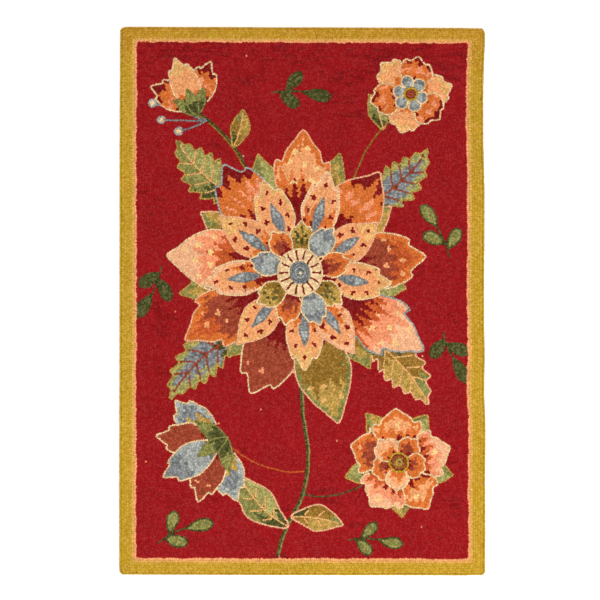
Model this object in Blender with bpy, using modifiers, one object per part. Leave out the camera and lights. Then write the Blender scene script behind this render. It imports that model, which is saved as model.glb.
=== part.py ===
"""A small hooked wool rug, lying flat with its pile up, as one closed solid.

The rug is one piece: rows of wool loops pulled up through a cloth foundation. Its solid has the true
outline, slightly uneven as hand work is, and reaches from the foundation's underside to the tops of the
loops. The frame is in metres: +X is the rug's width, +Y its length, +Z the way the pile stands, and the
origin is the middle of the underside.
"""

from dataclasses import dataclass

import bmesh
import bpy
from mathutils import Vector

# Driving dimensions, in metres.
WIDTH = 0.508
LENGTH = 0.762
FOUNDATION = 0.002
PILE_HEIGHT = 0.0075
THICKNESS = FOUNDATION + PILE_HEIGHT
CORNER_RADIUS = 0.006

# The outermost loops lean out over the edge, and the foundation's rim is pressed in under them.
TOP_ROUND = 0.004
FOOT_ROUND = 0.0012
ROUND_SEGMENTS = 4
CURVE_STEPS = 4

# A Bezier handle of this share of the radius draws a quarter circle.
QUARTER_HANDLE = 0.5523
SIDE_HANDLE = 1 / 3
MERGE_DISTANCE = 0.00001
MILLIMETRE = 0.001

WOOL_RED = (0.347, 0.0123, 0.0145, 1.0)
WOOL_ROUGHNESS = 0.95


@dataclass(frozen=True)
class Side:
    """One side of the outline, walked anticlockwise.

    Attributes:
        along: The way the side is walked.
        out: The way it faces.
        half_along: Half the side's own length, in metres.
        half_across: The nominal distance from the rug's middle to the side, in metres.
        bows: Rows of (place, bow): place runs from -1 to 1 along the side, and bow is how far the
            edge strays outwards there, in millimetres.
    """

    along: Vector
    out: Vector
    half_along: float
    half_across: float
    bows: tuple[tuple[float, float], ...]

    def point(self, place: float, bow: float) -> Vector:
        """Returns the point of the edge at one row of the table."""
        across = self.half_across + bow * MILLIMETRE
        return self.along * (place * self.half_along) + self.out * across

    def line_at(self, row: int) -> Vector:
        """Returns the offset from the rug's middle to the side's line at a row of the table."""
        return self.out * (self.half_across + self.bows[row][1] * MILLIMETRE)


@dataclass(frozen=True)
class Knot:
    """One point of the outline's curve, with the ends of its two handles."""

    point: Vector
    back: Vector
    ahead: Vector


EAST = Vector((1, 0, 0))
NORTH = Vector((0, 1, 0))

RIGHT = Side(
    along=NORTH,
    out=EAST,
    half_along=LENGTH / 2,
    half_across=WIDTH / 2,
    bows=(
        (-0.93, 0.8),
        (-0.80, 0.9),
        (-0.64, 0.7),
        (-0.50, 1.1),
        (-0.42, 0.8),
        (-0.36, -0.3),
        (-0.28, -0.4),
        (-0.20, 0.2),
        (-0.07, -0.7),
        (0.15, -0.5),
        (0.30, -0.1),
        (0.44, -0.4),
        (0.58, -1.7),
        (0.68, -1.9),
        (0.80, -1.6),
        (0.88, -0.7),
        (0.95, 0.5),
    ),
)
TOP = Side(
    along=-EAST,
    out=NORTH,
    half_along=WIDTH / 2,
    half_across=LENGTH / 2,
    bows=(
        (-0.94, -1.3),
        (-0.86, -0.9),
        (-0.64, -0.6),
        (-0.42, -0.3),
        (-0.20, -0.1),
        (0.22, 0.1),
        (0.45, 0.5),
        (0.67, 0.5),
        (0.88, 0.8),
    ),
)
LEFT = Side(
    along=-NORTH,
    out=-EAST,
    half_along=LENGTH / 2,
    half_across=WIDTH / 2,
    bows=(
        (-0.95, -0.6),
        (-0.87, -0.4),
        (-0.58, 0.1),
        (-0.22, 0.2),
        (0.10, 0.3),
        (0.28, 0.4),
        (0.50, 0.5),
        (0.65, 0.7),
        (0.94, 0.6),
    ),
)
BOTTOM = Side(
    along=EAST,
    out=-NORTH,
    half_along=WIDTH / 2,
    half_across=LENGTH / 2,
    bows=(
        (-0.94, -0.8),
        (-0.67, -0.5),
        (-0.45, -0.3),
        (-0.22, -0.1),
        (0.20, 0.1),
        (0.64, 0.2),
        (0.86, 0.4),
        (0.95, 0.1),
    ),
)
SIDES = (RIGHT, TOP, LEFT, BOTTOM)


def clear_scene() -> None:
    """Removes whatever the scene holds."""
    for obj in list(bpy.data.objects):
        bpy.data.objects.remove(obj, do_unlink=True)


def wool_material() -> bpy.types.Material:
    """Returns the plain wool of the rug's field."""
    material = bpy.data.materials.new("hooked_wool")
    material.use_nodes = True
    shader = material.node_tree.nodes["Principled BSDF"]
    shader.inputs["Base Color"].default_value = WOOL_RED
    shader.inputs["Roughness"].default_value = WOOL_ROUGHNESS
    shader.inputs["Metallic"].default_value = 0.0
    return material


def corner_of(side: Side, following: Side) -> Vector:
    """Returns where the lines of two neighbouring sides would cross."""
    return side.line_at(-1) + following.line_at(0)


def corner_knots(side: Side, following: Side) -> list[Knot]:
    """Returns the two knots of a quarter circle of CORNER_RADIUS between two sides."""
    corner = corner_of(side, following)
    handle = CORNER_RADIUS * QUARTER_HANDLE
    start = corner - side.along * CORNER_RADIUS
    end = corner + following.along * CORNER_RADIUS
    return [
        Knot(start, start - side.along * handle, start + side.along * handle),
        Knot(end, end - following.along * handle, end + following.along * handle),
    ]


def side_knots(side: Side) -> list[Knot]:
    """Returns a side's knots, each with its handles in line with its two neighbours."""
    points = [side.point(place, bow) for place, bow in side.bows]
    knots = []
    for index, point in enumerate(points):
        before = points[max(index - 1, 0)]
        after = points[min(index + 1, len(points) - 1)]
        slope = (after - before).normalized()
        back = (point - before).length * SIDE_HANDLE
        ahead = (after - point).length * SIDE_HANDLE
        knots.append(Knot(point, point - slope * back, point + slope * ahead))
    return knots


def outline_knots() -> list[Knot]:
    """Returns the whole outline's knots, anticlockwise."""
    knots = []
    for index, side in enumerate(SIDES):
        knots += side_knots(side)
        knots += corner_knots(side, SIDES[(index + 1) % len(SIDES)])
    return knots


def outline_curve() -> bpy.types.Curve:
    """Returns the rug's outline as a filled flat curve, extruded to the rug's thickness."""
    curve = bpy.data.curves.new("rug_outline", "CURVE")
    curve.dimensions = "2D"
    curve.fill_mode = "BOTH"
    curve.extrude = THICKNESS / 2
    curve.resolution_u = CURVE_STEPS
    knots = outline_knots()
    spline = curve.splines.new("BEZIER")
    spline.use_cyclic_u = True
    spline.bezier_points.add(len(knots) - 1)
    for bezier_point, knot in zip(spline.bezier_points, knots):
        bezier_point.handle_left_type = "FREE"
        bezier_point.handle_right_type = "FREE"
        bezier_point.co = knot.point
        bezier_point.handle_left = knot.back
        bezier_point.handle_right = knot.ahead
    return curve


def mesh_of(curve: bpy.types.Curve) -> bpy.types.Mesh:
    """Returns the closed mesh that a curve makes, and removes the curve's object."""
    guide = bpy.data.objects.new("rug_outline", curve)
    bpy.context.scene.collection.objects.link(guide)
    graph = bpy.context.evaluated_depsgraph_get()
    mesh = bpy.data.meshes.new_from_object(guide.evaluated_get(graph))
    bpy.data.objects.remove(guide, do_unlink=True)
    mesh.name = "rug"
    return mesh


def faces_at(bm: bmesh.types.BMesh, height: float) -> list[bmesh.types.BMFace]:
    """Returns the faces that lie level at a height."""
    faces = []
    for face in bm.faces:
        if all(abs(vertex.co.z - height) < MERGE_DISTANCE for vertex in face.verts):
            faces.append(face)
    return faces


def merge_level_faces(bm: bmesh.types.BMesh) -> None:
    """Makes the top and the underside of the curve's mesh one face each."""
    for height in (THICKNESS / 2, -THICKNESS / 2):
        bmesh.ops.dissolve_faces(bm, faces=faces_at(bm, height))


def centre_on_underside(bm: bmesh.types.BMesh) -> None:
    """Moves the mesh so that the middle of its bounding box's underside is the origin."""
    xs = [vertex.co.x for vertex in bm.verts]
    ys = [vertex.co.y for vertex in bm.verts]
    lowest = min(vertex.co.z for vertex in bm.verts)
    middle = Vector(((min(xs) + max(xs)) / 2, (min(ys) + max(ys)) / 2, lowest))
    bmesh.ops.translate(bm, verts=bm.verts, vec=-middle)


def weigh_rims(bm: bmesh.types.BMesh) -> None:
    """Marks how much each rim is rounded: the pile's in full, the foot's by its smaller share."""
    weight = bm.edges.layers.float.new("bevel_weight_edge")
    for height, share in ((THICKNESS, 1.0), (0.0, FOOT_ROUND / TOP_ROUND)):
        for face in faces_at(bm, height):
            for edge in face.edges:
                edge[weight] = share


def rug_mesh() -> bpy.types.Mesh:
    """Returns the flat slab of the rug, ready for its rims to be rounded."""
    mesh = mesh_of(outline_curve())
    bm = bmesh.new()
    bm.from_mesh(mesh)
    bmesh.ops.remove_doubles(bm, verts=bm.verts, dist=MERGE_DISTANCE)
    bmesh.ops.recalc_face_normals(bm, faces=bm.faces)
    merge_level_faces(bm)
    centre_on_underside(bm)
    weigh_rims(bm)
    bm.to_mesh(mesh)
    bm.free()
    return mesh


def round_rims(obj: bpy.types.Object) -> None:
    """Rounds the weighted rims of the slab."""
    bevel = obj.modifiers.new("rolled_pile_edge", "BEVEL")
    bevel.limit_method = "WEIGHT"
    bevel.width = TOP_ROUND
    bevel.segments = ROUND_SEGMENTS
    bevel.use_clamp_overlap = False


def build_rug() -> bpy.types.Object:
    """Builds the rug and returns its object."""
    mesh = rug_mesh()
    mesh.materials.clear()
    mesh.materials.append(wool_material())
    rug = bpy.data.objects.new("rug", mesh)
    collection = bpy.data.collections.new("hooked_rug")
    bpy.context.scene.collection.children.link(collection)
    collection.objects.link(rug)
    round_rims(rug)
    return rug


clear_scene()
build_rug()
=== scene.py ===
"""The looks of a small hooked wool rug: its foundation cloth and every loop of its pile.

The rug lies flat with its pile up. The design is drawn in millimetres from the middle of the rug, +X to the
right and +Y to the top, and the meshes are in metres. The hooking keeps a maker's order: the border, the
line, the outlines and the stems come first, loop by loop, and then the shapes and the field, row by row.
"""

import logging
import math
from collections import defaultdict
from collections.abc import Callable
from dataclasses import dataclass
from enum import Enum
from itertools import product

import bpy
import numpy as np
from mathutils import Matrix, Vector
from mathutils.kdtree import KDTree


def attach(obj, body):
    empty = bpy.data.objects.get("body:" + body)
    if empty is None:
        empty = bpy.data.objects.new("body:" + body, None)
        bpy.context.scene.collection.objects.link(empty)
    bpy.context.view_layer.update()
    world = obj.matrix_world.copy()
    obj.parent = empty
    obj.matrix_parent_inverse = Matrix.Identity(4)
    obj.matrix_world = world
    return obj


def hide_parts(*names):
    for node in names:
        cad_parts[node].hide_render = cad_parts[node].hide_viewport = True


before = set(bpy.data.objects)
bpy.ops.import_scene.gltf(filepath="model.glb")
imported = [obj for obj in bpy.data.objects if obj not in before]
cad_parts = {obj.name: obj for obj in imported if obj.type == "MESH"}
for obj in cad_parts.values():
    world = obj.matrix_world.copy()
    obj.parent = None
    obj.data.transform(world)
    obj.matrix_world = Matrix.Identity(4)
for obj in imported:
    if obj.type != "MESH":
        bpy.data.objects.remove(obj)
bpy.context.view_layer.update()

LOG = logging.getLogger("hooked_rug")
MM = 0.001
BODY = "root"
NODE = "rug"

Array = np.ndarray
Point = tuple[float, float]
Place = tuple[float, float, float]
Look = tuple[int, int, int]
Colour = tuple[float, float, float]
Chooser = Callable[[Array, Array], Array]


# -------- Wools --------


def linear(channel: float) -> float:
    """Returns the linear value of one 8-bit display channel, by the usual display curve."""
    share = channel / 255
    return share / 12.92 if share <= 0.04045 else ((share + 0.055) / 1.055) ** 2.4


@dataclass(frozen=True)
class Dye:
    """One dyed yarn.

    Attributes:
        look: Its colour on a display, as red, green and blue from 0 to 255.
        vary: How much lighter or darker single loops come out.
        mottle: How much lighter or darker whole patches come out.
        fuzz_and_sheen: How pale its fuzziest loops are: partly the pale fibres of the yarn, partly painted
            sheen.
    """

    look: Look
    vary: float = 0.10
    mottle: float = 0.10
    fuzz_and_sheen: float = 0.02

    def colour(self) -> Colour:
        """Returns the yarn's linear colour."""
        red, green, blue = self.look
        return linear(red), linear(green), linear(blue)


class Family(Enum):
    """Wools that are made as one piece of pile, each family with a name for its wool."""

    FIELD = "red_wool"
    BORDER = "gold_wool"
    CREAM = "cream_wool"
    BLOOM = "bloom_wool"
    LEAF = "leaf_wool"
    BLUE = "blue_wool"


class Wool(Enum):
    """Every wool in the rug: its family, and its dye's look, variation and mottle, with fuzz_and_sheen, the
    pale fibres and painted sheen of its lighter loops.
    """

    RED = (Family.FIELD, (155, 20, 24), 0.055, 0.11, 0.014)
    WINE = (Family.FIELD, (140, 16, 20), 0.055, 0.11, 0.014)
    GOLD = (Family.BORDER, (194, 154, 45), 0.10, 0.08, 0.04)
    AMBER = (Family.BORDER, (193, 145, 45), 0.12, 0.08, 0.04)
    SAND = (Family.CREAM, (214, 163, 82), 0.14, 0.06)
    PEACH = (Family.CREAM, (232, 160, 103), 0.16, 0.06)
    STRAW = (Family.CREAM, (229, 176, 108), 0.20, 0.06)
    BUTTER = (Family.CREAM, (244, 199, 132), 0.16, 0.06)
    CREAM = (Family.CREAM, (240, 200, 152), 0.28, 0.05)
    SHELL = (Family.BLOOM, (239, 178, 135), 0.18, 0.08)
    SALMON = (Family.BLOOM, (236, 148, 106), 0.18, 0.08)
    APRICOT = (Family.BLOOM, (234, 161, 106), 0.18, 0.08)
    ORANGE = (Family.BLOOM, (212, 113, 49), 0.18, 0.08)
    EMBER = (Family.BLOOM, (195, 89, 41), 0.20, 0.08)
    RUST = (Family.BLOOM, (157, 68, 44), 0.24, 0.08)
    GARNET = (Family.BLOOM, (129, 19, 17), 0.14, 0.10)
    BRONZE = (Family.LEAF, (148, 110, 42), 0.30, 0.08)
    MOSS = (Family.LEAF, (186, 150, 74), 0.30, 0.08)
    SAGE = (Family.LEAF, (138, 134, 72), 0.36, 0.08)
    PINE = (Family.LEAF, (82, 83, 42), 0.44, 0.08, 0.04)
    FERN = (Family.LEAF, (166, 158, 92), 0.32, 0.08)
    SLATE = (Family.BLUE, (131, 132, 132), 0.44, 0.08)
    MIST = (Family.BLUE, (163, 165, 159), 0.32, 0.08)

    def __init__(self, family: Family, *dye: Look | float) -> None:
        """Gives the wool its number in the chart, its family and its dye."""
        self.number = len(type(self).__members__)
        self.family, self.dye = family, Dye(*dye)


# -------- Plane geometry --------


class Mottle:
    """Smooth seeded noise over the plane, from about -1 to 1."""

    LATTICE = 64

    def __init__(self, seed: int, size: float) -> None:
        """Makes noise whose light and dark spots lie about a size apart."""
        self.size = size
        self.values = np.random.default_rng(seed).random((self.LATTICE, self.LATTICE)) * 2 - 1

    def at(self, x: Array, y: Array) -> Array:
        """Returns the noise at each point.

        Args:
            x: The x of each place.
            y: Its y.

        Returns:
            A value for each place.
        """
        across = np.asarray(x, float) / self.size
        up = np.asarray(y, float) / self.size
        column = np.floor(across).astype(int)
        row = np.floor(up).astype(int)
        s, t = (part * part * (3 - 2 * part) for part in (across - column, up - row))
        left, right = (place % self.LATTICE for place in (column, column + 1))
        low, high = (
            self.values[line % self.LATTICE, left] * (1 - s) + self.values[line % self.LATTICE, right] * s
            for line in (row, row + 1)
        )
        return low * (1 - t) + high * t


def smooth_line(points: Array, closed: bool, steps: int = 8) -> Array:
    """Returns a Catmull-Rom curve through points.

    Args:
        points: The points, one in each row.
        closed: Whether the curve returns to its start.
        steps: How many points each span gets.

    Returns:
        The curve's points, one in each row.
    """
    points = np.asarray(points, float)
    if closed:
        before, start, end, after = (np.roll(points, shift, axis=0) for shift in (1, 0, -1, -2))
    else:
        padded = np.vstack([2 * points[0] - points[1], points, 2 * points[-1] - points[-2]])
        before, start, end, after = padded[:-3], padded[1:-2], padded[2:-1], padded[3:]
    t = (np.arange(steps) / steps)[:, None, None]
    curve = 0.5 * (
        2 * start
        + (end - before) * t
        + (2 * before - 5 * start + 4 * end - after) * t**2
        + (3 * start - before - 3 * end + after) * t**3
    )
    curve = curve.transpose(1, 0, 2).reshape(-1, 2)
    return curve if closed else np.vstack([curve, points[-1]])


def spaced(points: Array, closed: bool, pitch: float) -> tuple[Array, Array]:
    """Walks along a line with even steps.

    Args:
        points: The line's points.
        closed: Whether the line returns to its start.
        pitch: The wanted step.

    Returns:
        The places, and the direction of the line at each, in radians.
    """
    if closed:
        points = np.vstack([points, points[:1]])
    steps = np.diff(points, axis=0)
    lengths = np.hypot(steps[:, 0], steps[:, 1])
    way = np.concatenate([[0.0], np.cumsum(lengths)])
    count = max(int(round(way[-1] / pitch)), 1)
    marks = np.linspace(0, way[-1], count + 1)
    if closed:
        marks = marks[:-1]
    places, ahead, behind = (
        np.stack([np.interp(marks + shift, way, course) for course in points.T], axis=1)
        for shift in (0, pitch / 3, -pitch / 3)
    )
    return places, np.arctan2(ahead[:, 1] - behind[:, 1], ahead[:, 0] - behind[:, 0])


def beside(points: Array, closed: bool, shift: float) -> Array:
    """Moves a line sideways.

    Args:
        points: The line's points.
        closed: Whether the line returns to its start.
        shift: How far it moves to the left of its own direction.

    Returns:
        The moved points.
    """
    if closed:
        along = np.roll(points, -1, axis=0) - np.roll(points, 1, axis=0)
    else:
        along = np.gradient(points, axis=0)
    length = np.hypot(along[:, 0], along[:, 1])[:, None]
    normal = np.stack([-along[:, 1], along[:, 0]], axis=1) / np.maximum(length, 1e-9)
    return points + normal * shift


HAND_STRAY = 0.9
HAND = (Mottle(41, 13.0), Mottle(42, 13.0))


def by_hand(points: Array) -> Array:
    """Returns points with the small strays of a line that is drawn by hand."""
    aside = [HAND_STRAY * mottle.at(points[..., 0], points[..., 1]) for mottle in HAND]
    return points + np.stack(aside, axis=-1)


# -------- The chart --------


@dataclass(frozen=True)
class Gauge:
    """How closely the rug is hooked, in millimetres.

    Attributes:
        pitch: From one loop to the next along a row.
        line: From one loop to the next along a single line.
        gap: From one row to the next.
        tuck: How much nearer the first row lies to a line than rows lie to each other.
        edge: From the rug's edge to the middle of its first row.
    """

    pitch: float = 2.75
    line: float = 2.5
    gap: float = 3.3
    tuck: float = 0.4
    edge: float = 1.75


GAUGE = Gauge()


@dataclass(frozen=True)
class Strand:
    """One row that is hooked along a line.

    Attributes:
        points: The line's points.
        wool: The wool it is hooked in, or None for those of the spots that it crosses.
        layer: The layer of the chart that it lies on. Shapes on later layers hide it.
        closed: Whether the line returns to its start.
        thin: Whether its yarn is thinner, as in a single line.
    """

    points: Array
    wool: Wool | None
    layer: int
    closed: bool
    thin: bool


class Chart:
    """The design as a maker draws it on the foundation: a wool for every spot, and the lines hooked first."""

    CELL = 0.75
    HALF_SIZE = (262.0, 390.0)

    def __init__(self) -> None:
        """Makes an empty chart."""
        self.x, self.y = (np.arange(-half, half, self.CELL) + self.CELL / 2 for half in self.HALF_SIZE)
        self.wool = np.full((len(self.y), len(self.x)), Wool.RED.number, np.int16)
        self.layer = np.zeros_like(self.wool)
        self.layers = 0
        self.strands: list[Strand] = []

    def cells(self, places: Array) -> tuple[Array, Array]:
        """Returns the row and the column of the cell that holds each place."""
        column, row = ((places - (self.x[0], self.y[0])) / self.CELL + 0.5).astype(int).T
        return np.clip(row, 0, len(self.y) - 1), np.clip(column, 0, len(self.x) - 1)

    def next_layer(self) -> int:
        """Starts a layer on top of the others and returns its number."""
        self.layers += 1
        return self.layers

    def stamp(self, ring: Array, choose: Chooser, layer: int) -> None:
        """Colours the inside of a ring.

        Args:
            ring: The ring's points.
            choose: A function of x and y that returns the numbers of the wools there.
            layer: The layer that the shape lies on.
        """
        low = ring.min(axis=0)
        high = ring.max(axis=0)
        columns = slice(*np.searchsorted(self.x, (low[0], high[0])))
        rows = slice(*np.searchsorted(self.y, (low[1], high[1])))
        x = self.x[columns]
        y = self.y[rows]
        within = np.zeros((len(y), len(x)), bool)
        for start, end in zip(ring, np.roll(ring, -1, axis=0)):
            crossed = (start[1] > y) != (end[1] > y)
            if not crossed.any():
                continue
            share = (y[crossed] - start[1]) / (end[1] - start[1])
            within[crossed] ^= x[None, :] < (start[0] + (end[0] - start[0]) * share)[:, None]
        grid_x, grid_y = np.meshgrid(x, y)
        numbers = choose(grid_x[within], grid_y[within])
        self.wool[rows, columns][within] = numbers
        self.layer[rows, columns][within] = layer

    def line(
        self, points: Array, wool: Wool | None, layer: int, closed: bool = False, thin: bool = True
    ) -> None:
        """Adds a row that is hooked along a line. What is given is what a Strand keeps."""
        self.strands.append(Strand(np.asarray(points, float), wool, layer, closed, thin))

    def shown(self, places: Array, layer: int) -> Array:
        """Tells which places of a line on a layer aren't hidden by a later shape."""
        return self.layer[self.cells(places)] <= layer


# -------- Motifs --------


Bands = tuple[tuple[float, Wool], ...]


class Silhouette(Enum):
    """Outlines of petals and leaves: rows of (place from base to tip, share of half the width)."""

    ROUND = ((0.0, 0.16), (0.18, 0.42), (0.42, 0.82), (0.66, 1.0), (0.86, 0.80), (0.975, 0.36), (1.0, 0.0))
    LOBED = (
        (0.0, 0.16), (0.18, 0.46), (0.38, 0.84), (0.54, 1.0), (0.68, 0.95), (0.665, 0.72),
        (0.78, 0.58), (0.88, 0.30), (1.0, 0.0),
    )
    TULIP = (
        (0.0, 0.18), (0.16, 0.50), (0.36, 0.90), (0.54, 1.0), (0.72, 0.84), (0.83, 0.66), (0.815, 0.46),
        (0.90, 0.26), (1.0, 0.0),
    )
    POINTED = ((0.0, 0.14), (0.16, 0.52), (0.38, 0.94), (0.55, 1.0), (0.76, 0.66), (0.91, 0.26), (1.0, 0.0))
    PADDLE = ((0.0, 0.0), (0.14, 0.34), (0.40, 0.84), (0.64, 1.0), (0.84, 0.82), (0.96, 0.42), (1.0, 0.0))
    LANCE = ((0.0, 0.0), (0.12, 0.40), (0.32, 0.86), (0.50, 1.0), (0.72, 0.70), (0.90, 0.26), (1.0, 0.0))
    TOOTHED = (
        (0.0, 0.05), (0.08, 0.42), (0.16, 0.74), (0.19, 0.54), (0.30, 0.95), (0.33, 0.70), (0.45, 1.0),
        (0.48, 0.72), (0.59, 0.90), (0.62, 0.60), (0.73, 0.70), (0.76, 0.42), (0.87, 0.40), (0.90, 0.18),
        (1.0, 0.0),
    )


@dataclass(frozen=True)
class Sprinkle:
    """Small spots in loose staggered rows.

    Attributes:
        wool: Their wool.
        gap: How far apart they are, in millimetres.
        radius: How large they are, in millimetres.
        longer: How much longer than wide they are.
        start: The place from base to tip where they start.
        end: The place where they end.
    """

    wool: Wool
    gap: float = 17.0
    radius: float = 2.7
    longer: float = 1.0
    start: float = 0.42
    end: float = 0.93

    STRAY = 0.22
    TABLE = 8

    def covers(self, along: Array, across: Array, place: Array, seed: int) -> Array:
        """Finds the places that are in a spot.

        Args:
            along: How far from the base each is, in millimetres.
            across: How far to the left of the axis it is.
            place: How far from base to tip it is, from 0 to 1.
            seed: The seed of their strays.

        Returns:
            A truth value for each place.
        """
        strays = np.random.default_rng(seed).uniform(-self.STRAY, self.STRAY, (2, self.TABLE, self.TABLE))
        row = np.round(along / self.gap).astype(int)
        staggered = across / self.gap + 0.5 * (row % 2)
        column = np.round(staggered).astype(int)
        down, aside = strays[:, row % self.TABLE, column % self.TABLE]
        from_row = (along / self.gap - row - down) / self.longer
        from_column = staggered - column - aside
        near = np.hypot(from_row, from_column) * self.gap < self.radius
        return near & (place > self.start) & (place < self.end)


@dataclass(frozen=True)
class Shading:
    """How a petal or leaf is shaded with wools.

    Attributes:
        bands: Rows of (place from base to tip where the band ends, wool).
        flame: How far the bands run into each other in pointed fingers.
        cup: How far the later bands reach back along the sides.
        second: The bands of the right half, where it is hooked in others.
        hem: A wool that follows the outline, in fingers that point inwards.
        hem_width: How far in it reaches, in millimetres.
        hem_start: The place from base to tip where it starts.
        sprinkles: Its spots.
    """

    bands: Bands
    flame: float = 0.12
    cup: float = 0.0
    second: Bands | None = None
    hem: Wool | None = None
    hem_width: float = 7.0
    hem_start: float = 0.12
    sprinkles: tuple[Sprinkle, ...] = ()

    FINGER = 13.0
    LEAST_FINGER = 0.3
    MEAN_FINGER = 0.35
    FOCUS = 0.5
    SEAM_STRAY = 0.06
    SEAM_TURNS = 6
    HEM_FINGER = 8.0
    HEM_LEAST = 0.5
    HEM_UNEVEN = 1.2
    HEM_RISE = 3.0
    HEM_MOST = 1.2
    FEATHER = 1.2
    GRAIN = 3.0
    TABLE = 64
    HEM_SEED = 3
    GRAIN_SEED = 4
    SPRINKLE_SEED = 5
    BAND_SEED = 100

    def numbers(self, along: Array, across: Array, depth: Array, size: Point, seed: int) -> Array:
        """Chooses the wools inside a shape.

        Args:
            along: How far from the base each place is.
            across: How far to the left of the axis it is.
            depth: How far it is from the outline.
            size: The length and the width of the shape.
            seed: The seed of its fingers and spots.

        Returns:
            The number of the wool at each place.
        """
        length, width = size
        place = along / length
        side = across * 2 / width
        strays = self.FEATHER * Mottle(seed + self.GRAIN_SEED, self.GRAIN).at(along, across)
        reach = place + self.cup * side**2 + strays / length
        fan = across / self.FINGER / (self.FOCUS + place)
        found = self._banded(reach, fan, self.bands, seed)
        if self.second:
            right = side < self.SEAM_STRAY * Mottle(seed, 1.0).at(place * self.SEAM_TURNS, side)
            found = np.where(right, self._banded(reach, fan, self.second, seed), found)
        if self.hem:
            fingers = self._fingers(across / self.HEM_FINGER, seed + self.HEM_SEED)
            grown = np.clip(self.HEM_RISE * (place - self.hem_start), 0.0, self.HEM_MOST)
            wide = self.hem_width * (self.HEM_LEAST + self.HEM_UNEVEN * fingers) * grown
            found = np.where(depth < wide + 0.5 * strays, self.hem.number, found)
        for number, sprinkle in enumerate(self.sprinkles):
            spot = sprinkle.covers(along, across, place, seed + self.SPRINKLE_SEED + number)
            found = np.where(spot & (depth > sprinkle.radius + GAUGE.gap), sprinkle.wool.number, found)
        return found

    def _fingers(self, fan: Array, seed: int) -> Array:
        """Makes pointed fingers side by side.

        Args:
            fan: How far across each place is, in fingers.
            seed: The seed of their heights.

        Returns:
            A height for each place: 0 between the fingers, and up to 1 along the middle of each.
        """
        chance = np.random.default_rng(seed)
        heights = chance.uniform(self.LEAST_FINGER, 1.0, self.TABLE)
        fan = fan + chance.uniform(0, self.TABLE)
        finger = np.floor(fan).astype(int)
        return heights[finger % self.TABLE] * (1 - np.abs(2 * (fan - finger) - 1))

    def _banded(self, reach: Array, fan: Array, bands: Bands, seed: int) -> Array:
        """Chooses the wools of bands that run into each other.

        Args:
            reach: How far from base to tip each place counts as.
            fan: How far across it is, in fingers.
            bands: The bands.
            seed: The seed of its fingers.

        Returns:
            The number of the wool at each place.
        """
        found = np.full(np.shape(reach), bands[0][1].number)
        for index in range(1, len(bands)):
            finger = self._fingers(fan, seed + self.BAND_SEED * index) - self.MEAN_FINGER
            found = np.where(reach - self.flame * finger > bands[index - 1][0], bands[index][1].number, found)
        return found


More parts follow.
